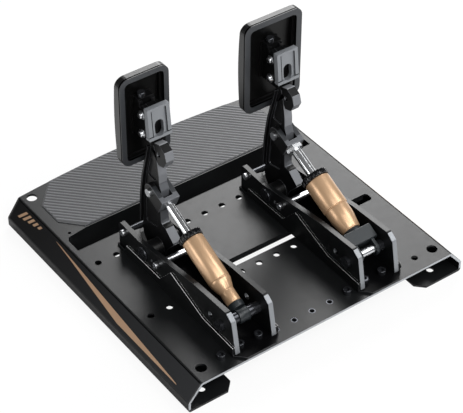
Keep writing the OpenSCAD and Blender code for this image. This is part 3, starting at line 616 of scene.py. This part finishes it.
    # The same rubber, lighter, on the ribs, and along the mat's rim as a painted highlight
    rib_rubber: Finish = Finish(
        "lighter_rib_rubber", "#5e5f62", "#545558", 0.5, 0.05, grain_mm=0.8, bump_mm=0.01
    )
    # Moulded rubber discs: matte, slightly uneven
    moulded_rubber: Finish = Finish(
        "moulded_rubber", "#141414", "#1b1b1b", 0.7, 0.06, grain_mm=1.0, bump_mm=0.02
    )
    # Sintered bronze bushes: warm, porous
    sintered_bronze: Finish = Finish(
        "sintered_bronze", "#a98650", "#8f6f3f", 0.4, 0.06,
        metallic=1.0, grain_mm=0.4, bump_mm=0.01,
    )
    # Broken edges of the base and the pad carriers: whole coat, painted a little lighter as a faint
    # highlight
    coated_edge: Finish = Finish(
        "coated_edge", "#1b1c1e", "#222326", 0.36, 0.05, grain_mm=0.5, specular=0.25
    )
    # Other broken edges, painted lighter than their coat as a highlight
    highlit_edge: Finish = Finish(
        "painted_highlight_edge", "#5e6064", "#4c4e52", 0.3, 0.05, metallic=0.3, grain_mm=0.5
    )
    # Vinyl film over the side slopes: black at the heel, dark grey at the rear
    black_film: Finish = FadedFinish(
        "black_vinyl_film", "#060607", "#232426", 0.45, 0.04,
        grain_mm=2.5, bump_mm=0.004, specular=0.15,
    )
    # Copper film of the stripe and the bars: satin, slightly metallic
    copper_film: Finish = Finish(
        "copper_film", "#a8886c", "#9c7d62", 0.42, 0.04,
        metallic=0.1, grain_mm=0.6, bump_mm=0.004,
    )


@dataclass
class CadDresser:
    """Gives every node of the frame its finish, and the nodes listed in bevel_mm a fine bevel.

    Attributes:
        nodes: Node name to Blender object.
        finishes: Finish name in Palette to built material.
        groups: Finish name to the node endings that take it.
        bevel_mm: Node ending to bevel width.
        rims: Finish name to the finish of its bevels, where it isn't highlit_edge.
        weld_mm: Points nearer than this are one corner.
        flat_deg: Faces that meet at less than this are one flat face.
        sharp_deg: Edges sharper than this are broken.
    """

    nodes: dict[str, bpy.types.Object]
    finishes: dict[str, bpy.types.Material]
    groups: dict[str, tuple[str, ...]] = field(
        default_factory=lambda: {
            "powder_coat": ("base_plate", "cross_channel"),
            "bracket_coat": ("bracket",),
            "cut_plate": ("outer_cheek", "inner_cheek"),
            "black_anodised": ("arm", "piston"),
            "pad_anodised": ("pad",),
            "deep_black": ("pad_carrier",),
            "fork_black": ("fork",),
            "grey_anodised": ("back_plate",),
            "copper_anodised": ("damper_body",),
            "zinc_plate": (
                "channel_screws", "stop_bar", "bar_screws", "fork_pin", "pad_bolts", "pin_bush",
                "jam_nut",
            ),
            "black_oxide": (
                "height_screw", "rest_bar", "pivot_shaft", "shaft_rings", "lower_pin",
                "spacers", "rear_row_nuts", "floor_screws", "plate_screws",
            ),
            "gloss_black": ("preload_ring",),
            "hard_chrome": ("rod",),
            "dark_steel": ("rod_end", "load_cell"),
            "mat_rubber": ("heel_mat",),
            "moulded_rubber": ("bump_stop", "elastomers"),
            "sintered_bronze": ("hub_bushes",),
        }
    )
    bevel_mm: dict[str, float] = field(
        default_factory=lambda: {
            "base_plate": 0.5, "bracket": 0.6, "outer_cheek": 0.5, "inner_cheek": 0.5, "arm": 0.5,
            "pad_carrier": 0.5, "back_plate": 0.5, "fork": 0.6, "load_cell": 0.5,
            "cross_channel": 0.4, "damper_body": 0.5, "preload_ring": 0.3, "rod_end": 0.4,
            "shaft_rings": 0.5, "heel_mat": 0.4, "floor_screws": 0.3, "bar_screws": 0.3,
        }
    )
    # The lighter bevel finishes paint a highlight along the broken edges
    rims: dict[str, str] = field(
        default_factory=lambda: {
            "copper_anodised": "copper_anodised", "mat_rubber": "rib_rubber",
            "black_oxide": "black_oxide", "zinc_plate": "zinc_plate", "powder_coat": "coated_edge",
            "bracket_coat": "sheared_edge", "deep_black": "coated_edge",
            "gloss_black": "gloss_black", "dark_steel": "dark_steel",
        }
    )
    weld_mm: float = 0.005
    flat_deg: float = 0.5
    sharp_deg: float = 40.0

    def ending(self, name: str) -> str:
        """Takes the pedal's word off a node's name.

        Args:
            name: The node's name.

        Returns:
            What follows the word, or the whole name where it has none.
        """
        for pedal in Pedal:
            if name.startswith(pedal.value + "_"):
                return name[len(pedal.value) + 1 :]
        return name

    def bevel(self, obj: bpy.types.Object, width_mm: float) -> None:
        """Breaks a node's sharp edges; the new faces take the second material.

        Args:
            obj: The node's object.
            width_mm: The bevel's width.
        """
        weld = obj.modifiers.new("joined_corners", "WELD")
        weld.merge_threshold = self.weld_mm * MM
        flat = obj.modifiers.new("flat_faces", "DECIMATE")
        flat.decimate_type = "DISSOLVE"
        flat.angle_limit = math.radians(self.flat_deg)
        edge = obj.modifiers.new("broken_edges", "BEVEL")
        edge.width = width_mm * MM
        edge.segments = 2
        edge.limit_method = "ANGLE"
        edge.angle_limit = math.radians(self.sharp_deg)
        edge.use_clamp_overlap = True
        edge.material = 1

    def dress(self) -> None:
        """Assigns the finishes and the bevels."""
        finish_of = {end: key for key, ends in self.groups.items() for end in ends}
        for name, obj in self.nodes.items():
            ending = self.ending(name)
            finish = finish_of[ending]
            obj.data.materials.clear()
            obj.data.materials.append(self.finishes[finish])
            if ending in self.bevel_mm:
                obj.data.materials.append(self.finishes[self.rims.get(finish, "highlit_edge")])
                self.bevel(obj, self.bevel_mm[ending])
            LOG.info("node %s takes %s", name, finish)


@dataclass
class SideFilm:
    """The black film and the copper marks on the leaning sides of the base.

    Every piece lies in the slope's own plane: y runs along the base and w
    runs down the slope from the top bend. All sizes are in millimetres.

    Attributes:
        film: The film's material.
        copper: The marks' material.
        fold_shade: The material of the black line along the film's upper edge.
        half_top: Half the width of the flat top.
        top_z: Height of the top.
        flare: How far a side leans out.
        lip_z: Height of the lip at its foot.
        span_y: Where the film starts and ends along the base.
        span_w: Where the film starts and ends down the slope.
        heel_cut: How far the film's lower heel corner is cut back.
        columns: Places along the film and the bead.
        fold_shade_w: Where the black line starts and ends below the film's upper edge.
        fold_shade_in: How far the black line ends before the film does.
        film_t: Thickness of the film.
        mark_t: Height of the marks and the black line above the slope.
        sunk: How far every piece reaches into the sheet.
        stripe_upper: Corners (y, w) of the stripe's upper edge.
        stripe_lower: Corners (y, w) of its lower edge.
        stripe_columns: Places along the stripe.
        bars: How many slanted bars there are.
        bar_start: Foot of the first bar along the base.
        bar_pitch: Spacing of the bars.
        bar_width: Width of a bar.
        bar_w: Where the first bar starts and ends down the slope.
        bar_shrink: How much each bar ends before the last one.
        bar_lean: How far a bar leans for each step down the slope.
    """

    film: bpy.types.Material
    copper: bpy.types.Material
    fold_shade: bpy.types.Material
    half_top: float = 177.0
    top_z: float = 35.0
    flare: float = 17.5
    lip_z: float = 14.0
    span_y: tuple[float, float] = (-182.0, 193.5)
    span_w: tuple[float, float] = (0.4, 26.0)
    heel_cut: float = 2.0
    columns: int = 24
    fold_shade_w: tuple[float, float] = (0.1, 1.4)
    fold_shade_in: float = 0.5
    film_t: float = 0.15
    mark_t: float = 0.3
    sunk: float = 0.05
    stripe_upper: tuple[tuple[float, float], ...] = (
        (-94.0, 4.6), (-85.0, 5.0), (160.0, 20.4), (167.0, 21.3),
    )
    stripe_lower: tuple[tuple[float, float], ...] = (
        (-94.0, 4.8), (-59.0, 8.5), (50.0, 21.7), (167.0, 21.9),
    )
    stripe_columns: int = 88
    bars: int = 5
    bar_start: float = -170.0
    bar_pitch: float = 9.5
    bar_width: float = 4.5
    bar_w: tuple[float, float] = (5.5, 17.0)
    bar_shrink: float = 1.8
    bar_lean: float = 0.8

    def to_slope(
        self, flank: Flank, y_mm: np.ndarray, w_mm: np.ndarray, lift_mm: float
    ) -> np.ndarray:
        """Places points of the slope's plane in space.

        The point is the top bend plus w along the slope plus the lift along
        the slope's outward normal, mirrored to the chosen side.

        Args:
            flank: Which side of the base.
            y_mm: Places along the base.
            w_mm: Places down the slope.
            lift_mm: Height above the sheet.

        Returns:
            An array of points in metres, one row each.
        """
        run = np.array([self.flare, self.lip_z - self.top_z])
        down = run / np.linalg.norm(run)
        out = np.array([-down[1], down[0]])
        x = self.half_top + w_mm * down[0] + lift_mm * out[0]
        z = self.top_z + w_mm * down[1] + lift_mm * out[1]
        return np.column_stack([flank.value * x, y_mm, z]) * MM

    def slab(
        self,
        name: str,
        flank: Flank,
        tops: np.ndarray,
        feet: np.ndarray,
        lift_mm: float,
        material: bpy.types.Material,
    ) -> None:
        """Builds a thin closed slab between two edge lines on the slope.

        The outer face joins matching points of both lines, the inner face
        lies a hair inside the sheet, and a band of quads closes the rim. On
        the right side the faces are turned, so that they point outwards.

        Args:
            name: The piece's name.
            flank: Which side of the base.
            tops: Points (y, w) of the upper line.
            feet: Points (y, w) of the lower line, as many as tops.
            lift_mm: Height of the outer face above the sheet.
            material: The slab's finish.
        """
        ring = np.vstack([tops, feet[::-1]])
        points = np.vstack(
            [self.to_slope(flank, ring[:, 0], ring[:, 1], lift) for lift in (lift_mm, -self.sunk)]
        )
        total = len(ring)
        step = np.arange(total)
        after = (step + 1) % total
        first = np.arange(len(tops) - 1)
        outer = np.column_stack([first, first + 1, total - 2 - first, total - 1 - first])
        inner = outer[:, ::-1] + total
        rim = np.column_stack([step, step + total, after + total, after])
        faces = np.vstack([outer, inner, rim])
        if flank is Flank.RIGHT:
            faces = faces[:, ::-1]
        add_piece(name, points, faces, "frame", material)

    def build_film(self, flank: Flank) -> None:
        """Builds the film panel, whose heel end follows the slope's cut.

        Args:
            flank: Which side of the base.
        """
        y = np.linspace(*self.span_y, self.columns)
        tops = np.column_stack([y, np.full_like(y, self.span_w[0])])
        feet = np.column_stack([y, np.full_like(y, self.span_w[1])])
        feet[0, 0] += self.heel_cut
        name = f"side_film_{flank.word}"
        self.slab(name, flank, tops, feet, self.film_t, self.film)

    def build_fold_shade(self, flank: Flank) -> None:
        """Builds the black line along the film's upper edge, at the top bend: partly the film's
        folded edge, partly painted shade.

        Args:
            flank: Which side of the base.
        """
        y = np.linspace(self.span_y[0] + self.fold_shade_in, self.span_y[1] - self.fold_shade_in, self.columns)
        tops, feet = (np.column_stack([y, np.full_like(y, self.span_w[0] + w)]) for w in self.fold_shade_w)
        name = f"side_fold_shade_{flank.word}"
        self.slab(name, flank, tops, feet, self.mark_t, self.fold_shade)

    def build_stripe(self, flank: Flank) -> None:
        """Builds the long tapered stripe, pointed at both ends.

        Both edges are polylines sampled at the same places along the base.

        Args:
            flank: Which side of the base.
        """
        upper, lower = np.array(self.stripe_upper), np.array(self.stripe_lower)
        y = np.linspace(upper[0, 0], upper[-1, 0], self.stripe_columns)
        tops, feet = (np.column_stack([y, np.interp(y, *edge.T)]) for edge in (upper, lower))
        name = f"side_stripe_{flank.word}"
        self.slab(name, flank, tops, feet, self.mark_t, self.copper)

    def build_bar(self, flank: Flank, index: int) -> None:
        """Builds one of the slanted bars ahead of the stripe.

        Each bar is a parallelogram whose length shrinks with its index.

        Args:
            flank: Which side of the base.
            index: Which bar, from the heel end.
        """
        start = self.bar_start + self.bar_pitch * index
        high, low = self.bar_w[0], self.bar_w[1] - self.bar_shrink * index
        lean = self.bar_lean * (low - high)
        tops = np.array([[start + lean, high], [start + lean + self.bar_width, high]])
        feet = np.array([[start, low], [start + self.bar_width, low]])
        name = f"side_bar_{flank.word}_{index + 1}"
        self.slab(name, flank, tops, feet, self.mark_t, self.copper)

    def build(self) -> None:
        """Builds the film, the black line along its upper edge and the marks on both sides."""
        for flank in Flank:
            self.build_film(flank)
            self.build_fold_shade(flank)
            self.build_stripe(flank)
            for index in range(self.bars):
                self.build_bar(flank, index)


@dataclass
class MatRibs:
    """The straight ribs of the heel mat, which run slantwise across it.

    Attributes:
        mat: The mat's node.
        pitch_mm: Spacing of the ribs.
        turn_deg: Angle of the ribs from the X axis.
        width_mm: Width of a rib at its foot; its crest is half as wide.
        high_mm: Height of a rib.
        sunk_mm: How far a rib reaches into the mat.
        rim_mm: Plain rim left at both ends of a rib.
        margin_mm: How far from the mat's corners the first and last rib may lie.
        least_mm: Ribs shorter than this are left out.
        skin_mm: Depth below the top within which a point counts as the top's.
    """

    mat: bpy.types.Object
    pitch_mm: float = 5.1
    turn_deg: float = -45.0
    width_mm: float = 3.3
    high_mm: float = 0.5
    sunk_mm: float = 0.05
    rim_mm: float = 1.6
    margin_mm: float = 3.0
    least_mm: float = 6.0
    skin_mm: float = 0.1

    def outline(self) -> tuple[np.ndarray, float]:
        """Reads the outline of the mat's top.

        The top's outer points are sorted by their angle round the middle.

        Returns:
            The outline's points and the height of the top, in metres.
        """
        points = vertices_of(self.mat)
        top = float(points[:, 2].max())
        skin = points[points[:, 2] > top - self.skin_mm * MM]
        ring = np.unique(np.round(skin[:, :2], 6), axis=0)
        away = ring - ring.mean(axis=0)
        return ring[np.argsort(np.arctan2(away[:, 1], away[:, 0]))], top

    def spans(self, ring: np.ndarray, across: np.ndarray) -> tuple[np.ndarray, np.ndarray]:
        """Finds where lines along the ribs enter and leave the outline.

        A line crosses an edge whose two ends lie on different sides of it,
        at the share of the edge that the line's distance from its start
        gives. The least and the greatest crossing are the line's ends.

        Args:
            ring: The outline in rib coordinates: along the ribs, then across.
            across: The lines' places across the ribs.

        Returns:
            Where the lines start and end. A line that misses ends before it starts.
        """
        after = np.roll(ring, -1, axis=0)
        gap = across[..., None] - ring[:, 1]
        hit = gap * (across[..., None] - after[:, 1]) < 0.0
        rise = np.broadcast_to(after[:, 1] - ring[:, 1], gap.shape)
        share = np.divide(gap, rise, out=np.zeros_like(gap), where=hit)
        along = ring[:, 0] + share * (after[:, 0] - ring[:, 0])
        starts = np.where(hit, along, np.inf).min(axis=-1)
        ends = np.where(hit, along, -np.inf).max(axis=-1)
        return starts, ends

    def build(self, material: bpy.types.Material) -> None:
        """Builds all the ribs as one piece.

        A rib is a bar with a trapezoid section whose four long edges end
        where their own lines meet the rim. Its eight points are the section
        at the start and the section at the end.

        Args:
            material: The ribs' material.
        """
        ring, top = self.outline()
        angle = math.radians(self.turn_deg)
        turn = np.array(
            [[math.cos(angle), math.sin(angle)], [-math.sin(angle), math.cos(angle)]]
        )
        ring = ring @ turn.T
        half, crest = self.width_mm / 2.0, self.width_mm / 4.0
        section = MM * np.array(
            [
                (-half, -self.sunk_mm), (half, -self.sunk_mm),
                (crest, self.high_mm), (-crest, self.high_mm),
            ]
        )
        middles = np.arange(
            ring[:, 1].min() + self.margin_mm * MM, ring[:, 1].max() - self.margin_mm * MM,
            self.pitch_mm * MM,
        )
        lines = middles[:, None] + section[:, 0]
        starts, ends = self.spans(ring, lines)
        kept = (ends - starts).min(axis=1) >= self.least_mm * MM
        rim = self.rim_mm * MM
        along = np.stack([starts[kept] + rim, ends[kept] - rim], axis=1)
        across = np.broadcast_to(lines[kept][:, None, :], along.shape)
        flat = np.stack([along, across], axis=-1) @ turn
        height = np.broadcast_to(top + section[:, 1], along.shape)
        points = np.concatenate([flat, height[..., None]], axis=-1).reshape(-1, 3)
        corner = np.arange(4)
        after = (corner + 1) % 4
        sides = np.column_stack([corner, after, 4 + after, 4 + corner])
        rib = np.vstack([sides, [(3, 2, 1, 0), (4, 5, 6, 7)]])
        count = int(kept.sum())
        faces = (rib + 8 * np.arange(count)[:, None, None]).reshape(-1, 4)
        LOG.info("the heel mat has %d ribs", count)
        add_piece("heel_mat_ribs", points, faces, "frame", material)


@dataclass
class PlateSeams:
    """Black lines of painted shade along the raised side ribs of the plate behind a pad.

    Attributes:
        plate: The plate's node.
        pedal: Its pedal.
        lean_deg: How far the plate leans about the X axis.
        rib_in_mm: Distance of a rib's inner edge from the plate's middle.
        rib_out_mm: Distance of its outer edge.
        foot_mm: Height of a line's foot above the plate's lower end.
        long_mm: Length of a line's upright.
        line_mm: Width of a line.
        sunk_mm: How far it reaches into the plate.
        proud_mm: How far it stands over the rib.
    """

    plate: bpy.types.Object
    pedal: Pedal
    lean_deg: float = 6.0
    rib_in_mm: float = 9.0
    rib_out_mm: float = 14.2
    foot_mm: float = 4.5
    long_mm: float = 32.5
    line_mm: float = 0.8
    sunk_mm: float = 0.1
    proud_mm: float = 0.1

    def turned(self, points: np.ndarray, sign: float) -> np.ndarray:
        """Turns points about the X axis by the lean.

        With the angle q, y becomes y cos q - z sin q and z becomes y sin q + z cos q.

        Args:
            points: One point in each row.
            sign: One to turn with the lean, minus one to undo it.

        Returns:
            The turned points.
        """
        q = math.radians(sign * self.lean_deg)
        turn = np.array(
            [[1, 0, 0], [0, math.cos(q), math.sin(q)], [0, -math.sin(q), math.cos(q)]]
        )
        return points @ turn

    def build(self, material: bpy.types.Material) -> None:
        """Builds both lines of painted shade, each an upright and a short foot, from thin boxes.

        A box's corners take the low or the high bound of each axis, X
        slowest and Z fastest.

        Args:
            material: The joints' material.
        """
        upright = self.turned(vertices_of(self.plate), -1.0) / MM
        middle = (upright[:, 0].min() + upright[:, 0].max()) / 2.0
        face, foot = upright[:, 1].max(), upright[:, 2].min() + self.foot_mm
        inner, outer, line = self.rib_in_mm, self.rib_out_mm, self.line_mm
        # First and last X and height of each box
        boxes = np.array(
            [
                (inner, inner + line, self.long_mm), (inner, outer, line),
                (-inner - line, -inner, self.long_mm), (-outer, -inner, line),
            ]
        )
        whole = np.ones(len(boxes))
        low = np.column_stack([boxes[:, 0], (face - self.sunk_mm) * whole, foot * whole])
        high = np.column_stack([boxes[:, 1], (face + self.proud_mm) * whole, foot + boxes[:, 2]])
        picks = np.indices((2, 2, 2)).reshape(3, 8).T
        corners = np.where(picks, high[:, None], low[:, None]).reshape(-1, 3)
        points = self.turned(corners + np.array([middle, 0.0, 0.0]), 1.0) * MM
        box = np.array(
            [(0, 1, 3, 2), (4, 6, 7, 5), (0, 4, 5, 1), (2, 3, 7, 6), (0, 2, 6, 4), (1, 5, 7, 3)]
        )
        faces = (box + 8 * np.arange(len(boxes))[:, None, None]).reshape(-1, 4)
        word = self.pedal.value
        add_piece(
            f"{word}_plate_seams", points, faces, f"{word}_lever", material
        )


@dataclass(frozen=True)
class Lamp:
    """A square area lamp.

    Attributes:
        name: The lamp's name.
        place_m: Its place.
        size_m: Its side.
        watts: Its power.
    """

    name: str
    place_m: tuple[float, float, float]
    size_m: float
    watts: float

    def hang(self, aim_m: tuple[float, float, float]) -> None:
        """Hangs the lamp.

        Args:
            aim_m: The point that it faces.
        """
        data = bpy.data.lights.new(self.name, "AREA")
        data.shape = "SQUARE"
        data.size = self.size_m
        data.energy = self.watts
        lamp = bpy.data.objects.new(self.name, data)
        way = (Vector(aim_m) - Vector(self.place_m)).to_track_quat("-Z", "Y")
        lamp.matrix_world = Matrix.Translation(self.place_m) @ way.to_matrix().to_4x4()
        bpy.context.scene.collection.objects.link(lamp)


@dataclass
class Studio:
    """Floor, lights, world and the camera of the photograph.

    Attributes:
        camera_m: The camera's place.
        azimuth: Its heading in degrees, zero looking along +Y.
        elevation: Its height above level in degrees.
        roll: Its roll in degrees.
        focal_px: Focal length in pixels of the photograph.
        width_px: Width of the photograph.
        sensor_mm: Width of the camera's sensor.
        sight_m: How far the camera sees.
        floor_m: Half the side of the floor.
        floor_drop_m: How far the floor lies below the set, so that they don't meet.
        floor_grey: How much light the floor throws back.
        floor_glow: How much of its own white the floor shows.
        room_level: Strength of the even light.
        aim_m: The point that the lamps face.
        lamps: The lamps.
    """

    camera_m: tuple[float, float, float] = (0.92664, 1.26991, 1.39691)
    azimuth: float = 143.7598
    elevation: float = 40.3723
    roll: float = -0.263
    focal_px: float = 1763.89
    width_px: float = 463.0
    sensor_mm: float = 36.0
    sight_m: float = 20.0
    floor_m: float = 6.0
    floor_drop_m: float = 0.0005
    floor_grey: float = 0.85
    floor_glow: float = 0.9
    room_level: float = 0.15
    aim_m: tuple[float, float, float] = (0.0, 0.0, 0.08)
    lamps: tuple[Lamp, ...] = (
        Lamp("top_panel", (-0.93, -0.95, 1.05), 1.0, 26.0),
        Lamp("key_lamp", (-1.2, 1.0, 1.8), 1.2, 24.0),
        Lamp("rear_lamp", (0.3, 1.8, 1.7), 1.6, 46.0),
        Lamp("side_lamp", (1.6, -0.2, 0.55), 0.6, 6.0),
    )

    def camera(self) -> None:
        """Places the camera.

        The view's back vector is (sin a cos e, -cos a cos e, sin e). Right is
        level and square to it, and both are turned by the roll.
        """
        a, e, r = (math.radians(v) for v in (self.azimuth, self.elevation, self.roll))
        back = Vector((math.sin(a) * math.cos(e), -math.cos(a) * math.cos(e), math.sin(e)))
        right = Vector((0.0, 0.0, 1.0)).cross(back).normalized()
        up = back.cross(right)
        turned_right = right * math.cos(r) - up * math.sin(r)
        turned_up = right * math.sin(r) + up * math.cos(r)
        data = bpy.data.cameras.new("photo_camera")
        data.sensor_fit = "HORIZONTAL"
        data.sensor_width = self.sensor_mm
        data.lens = self.focal_px / self.width_px * self.sensor_mm
        data.clip_end = self.sight_m
        camera = bpy.data.objects.new("photo_camera", data)
        way = Matrix((turned_right, turned_up, back)).transposed()
        camera.matrix_world = Matrix.Translation(self.camera_m) @ way.to_4x4()
        bpy.context.scene.collection.objects.link(camera)
        bpy.context.scene.camera = camera

    def floor(self) -> None:
        """Lays a white floor that still takes the object's soft shadow.

        Camera and transmission rays see it mixed with its own white glow.
        """
        half, drop = self.floor_m, -self.floor_drop_m
        corners = [(-half, -half, drop), (half, -half, drop), (half, half, drop), (-half, half, drop)]
        mesh = bpy.data.meshes.new("studio_floor")
        mesh.from_pydata(corners, [], [(0, 1, 2, 3)])
        floor = bpy.data.objects.new("studio_floor", mesh)
        bpy.context.scene.collection.objects.link(floor)
        material = bpy.data.materials.new("studio_floor_white")
        material.use_nodes = True
        tree = material.node_tree
        tree.nodes.clear()
        path = add_node(tree, "ShaderNodeLightPath")
        seen = add_node(
            tree, "ShaderNodeMath",
            links={0: path.outputs["Is Camera Ray"], 1: path.outputs["Is Transmission Ray"]},
            operation="MAXIMUM",
        )
        share = add_node(
            tree, "ShaderNodeMath", {1: self.floor_glow}, {0: seen.outputs[0]}, operation="MULTIPLY"
        )
        grey = (self.floor_grey, self.floor_grey, self.floor_grey, 1.0)
        paint = add_node(tree, "ShaderNodeBsdfDiffuse", {"Color": grey})
        white = add_node(
            tree, "ShaderNodeEmission", {"Color": (1.0, 1.0, 1.0, 1.0), "Strength": 1.0}
        )
        mix = add_node(
            tree, "ShaderNodeMixShader",
            links={0: share.outputs[0], 1: paint.outputs[0], 2: white.outputs[0]},
        )
        add_node(tree, "ShaderNodeOutputMaterial", links={"Surface": mix.outputs[0]})
        mesh.materials.append(material)

    def world(self) -> None:
        """Fills the room with even pale light."""
        world = bpy.data.worlds.new("studio_world")
        bpy.context.scene.world = world
        world.use_nodes = True
        tree = world.node_tree
        tree.nodes.clear()
        fill = add_node(
            tree, "ShaderNodeBackground",
            {"Color": (1.0, 1.0, 1.0, 1.0), "Strength": self.room_level},
        )
        add_node(tree, "ShaderNodeOutputWorld", links={"Surface": fill.outputs[0]})

    def build(self) -> None:
        """Builds the whole studio."""
        bpy.context.scene.view_settings.view_transform = "Standard"
        self.floor()
        self.world()
        for lamp in self.lamps:
            lamp.hang(self.aim_m)
        self.camera()


def main() -> None:
    """Loads the frame, dresses it, builds the thin pieces and sets up the studio."""
    logging.basicConfig(level=logging.INFO, format="%(message)s")
    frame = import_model()
    nodes = frame["nodes"]
    palette = Palette()
    finishes = {item.name: getattr(palette, item.name).build() for item in fields(palette)}
    CadDresser(nodes, finishes).dress()
    MatRibs(nodes["heel_mat"]).build(finishes["rib_rubber"])
    SideFilm(finishes["black_film"], finishes["copper_film"], finishes["black_bead"]).build()
    for pedal in Pedal:
        PlateSeams(nodes[f"{pedal.value}_back_plate"], pedal).build(finishes["black_bead"])
    Studio().build()


if __name__ == "__main__":
    main()
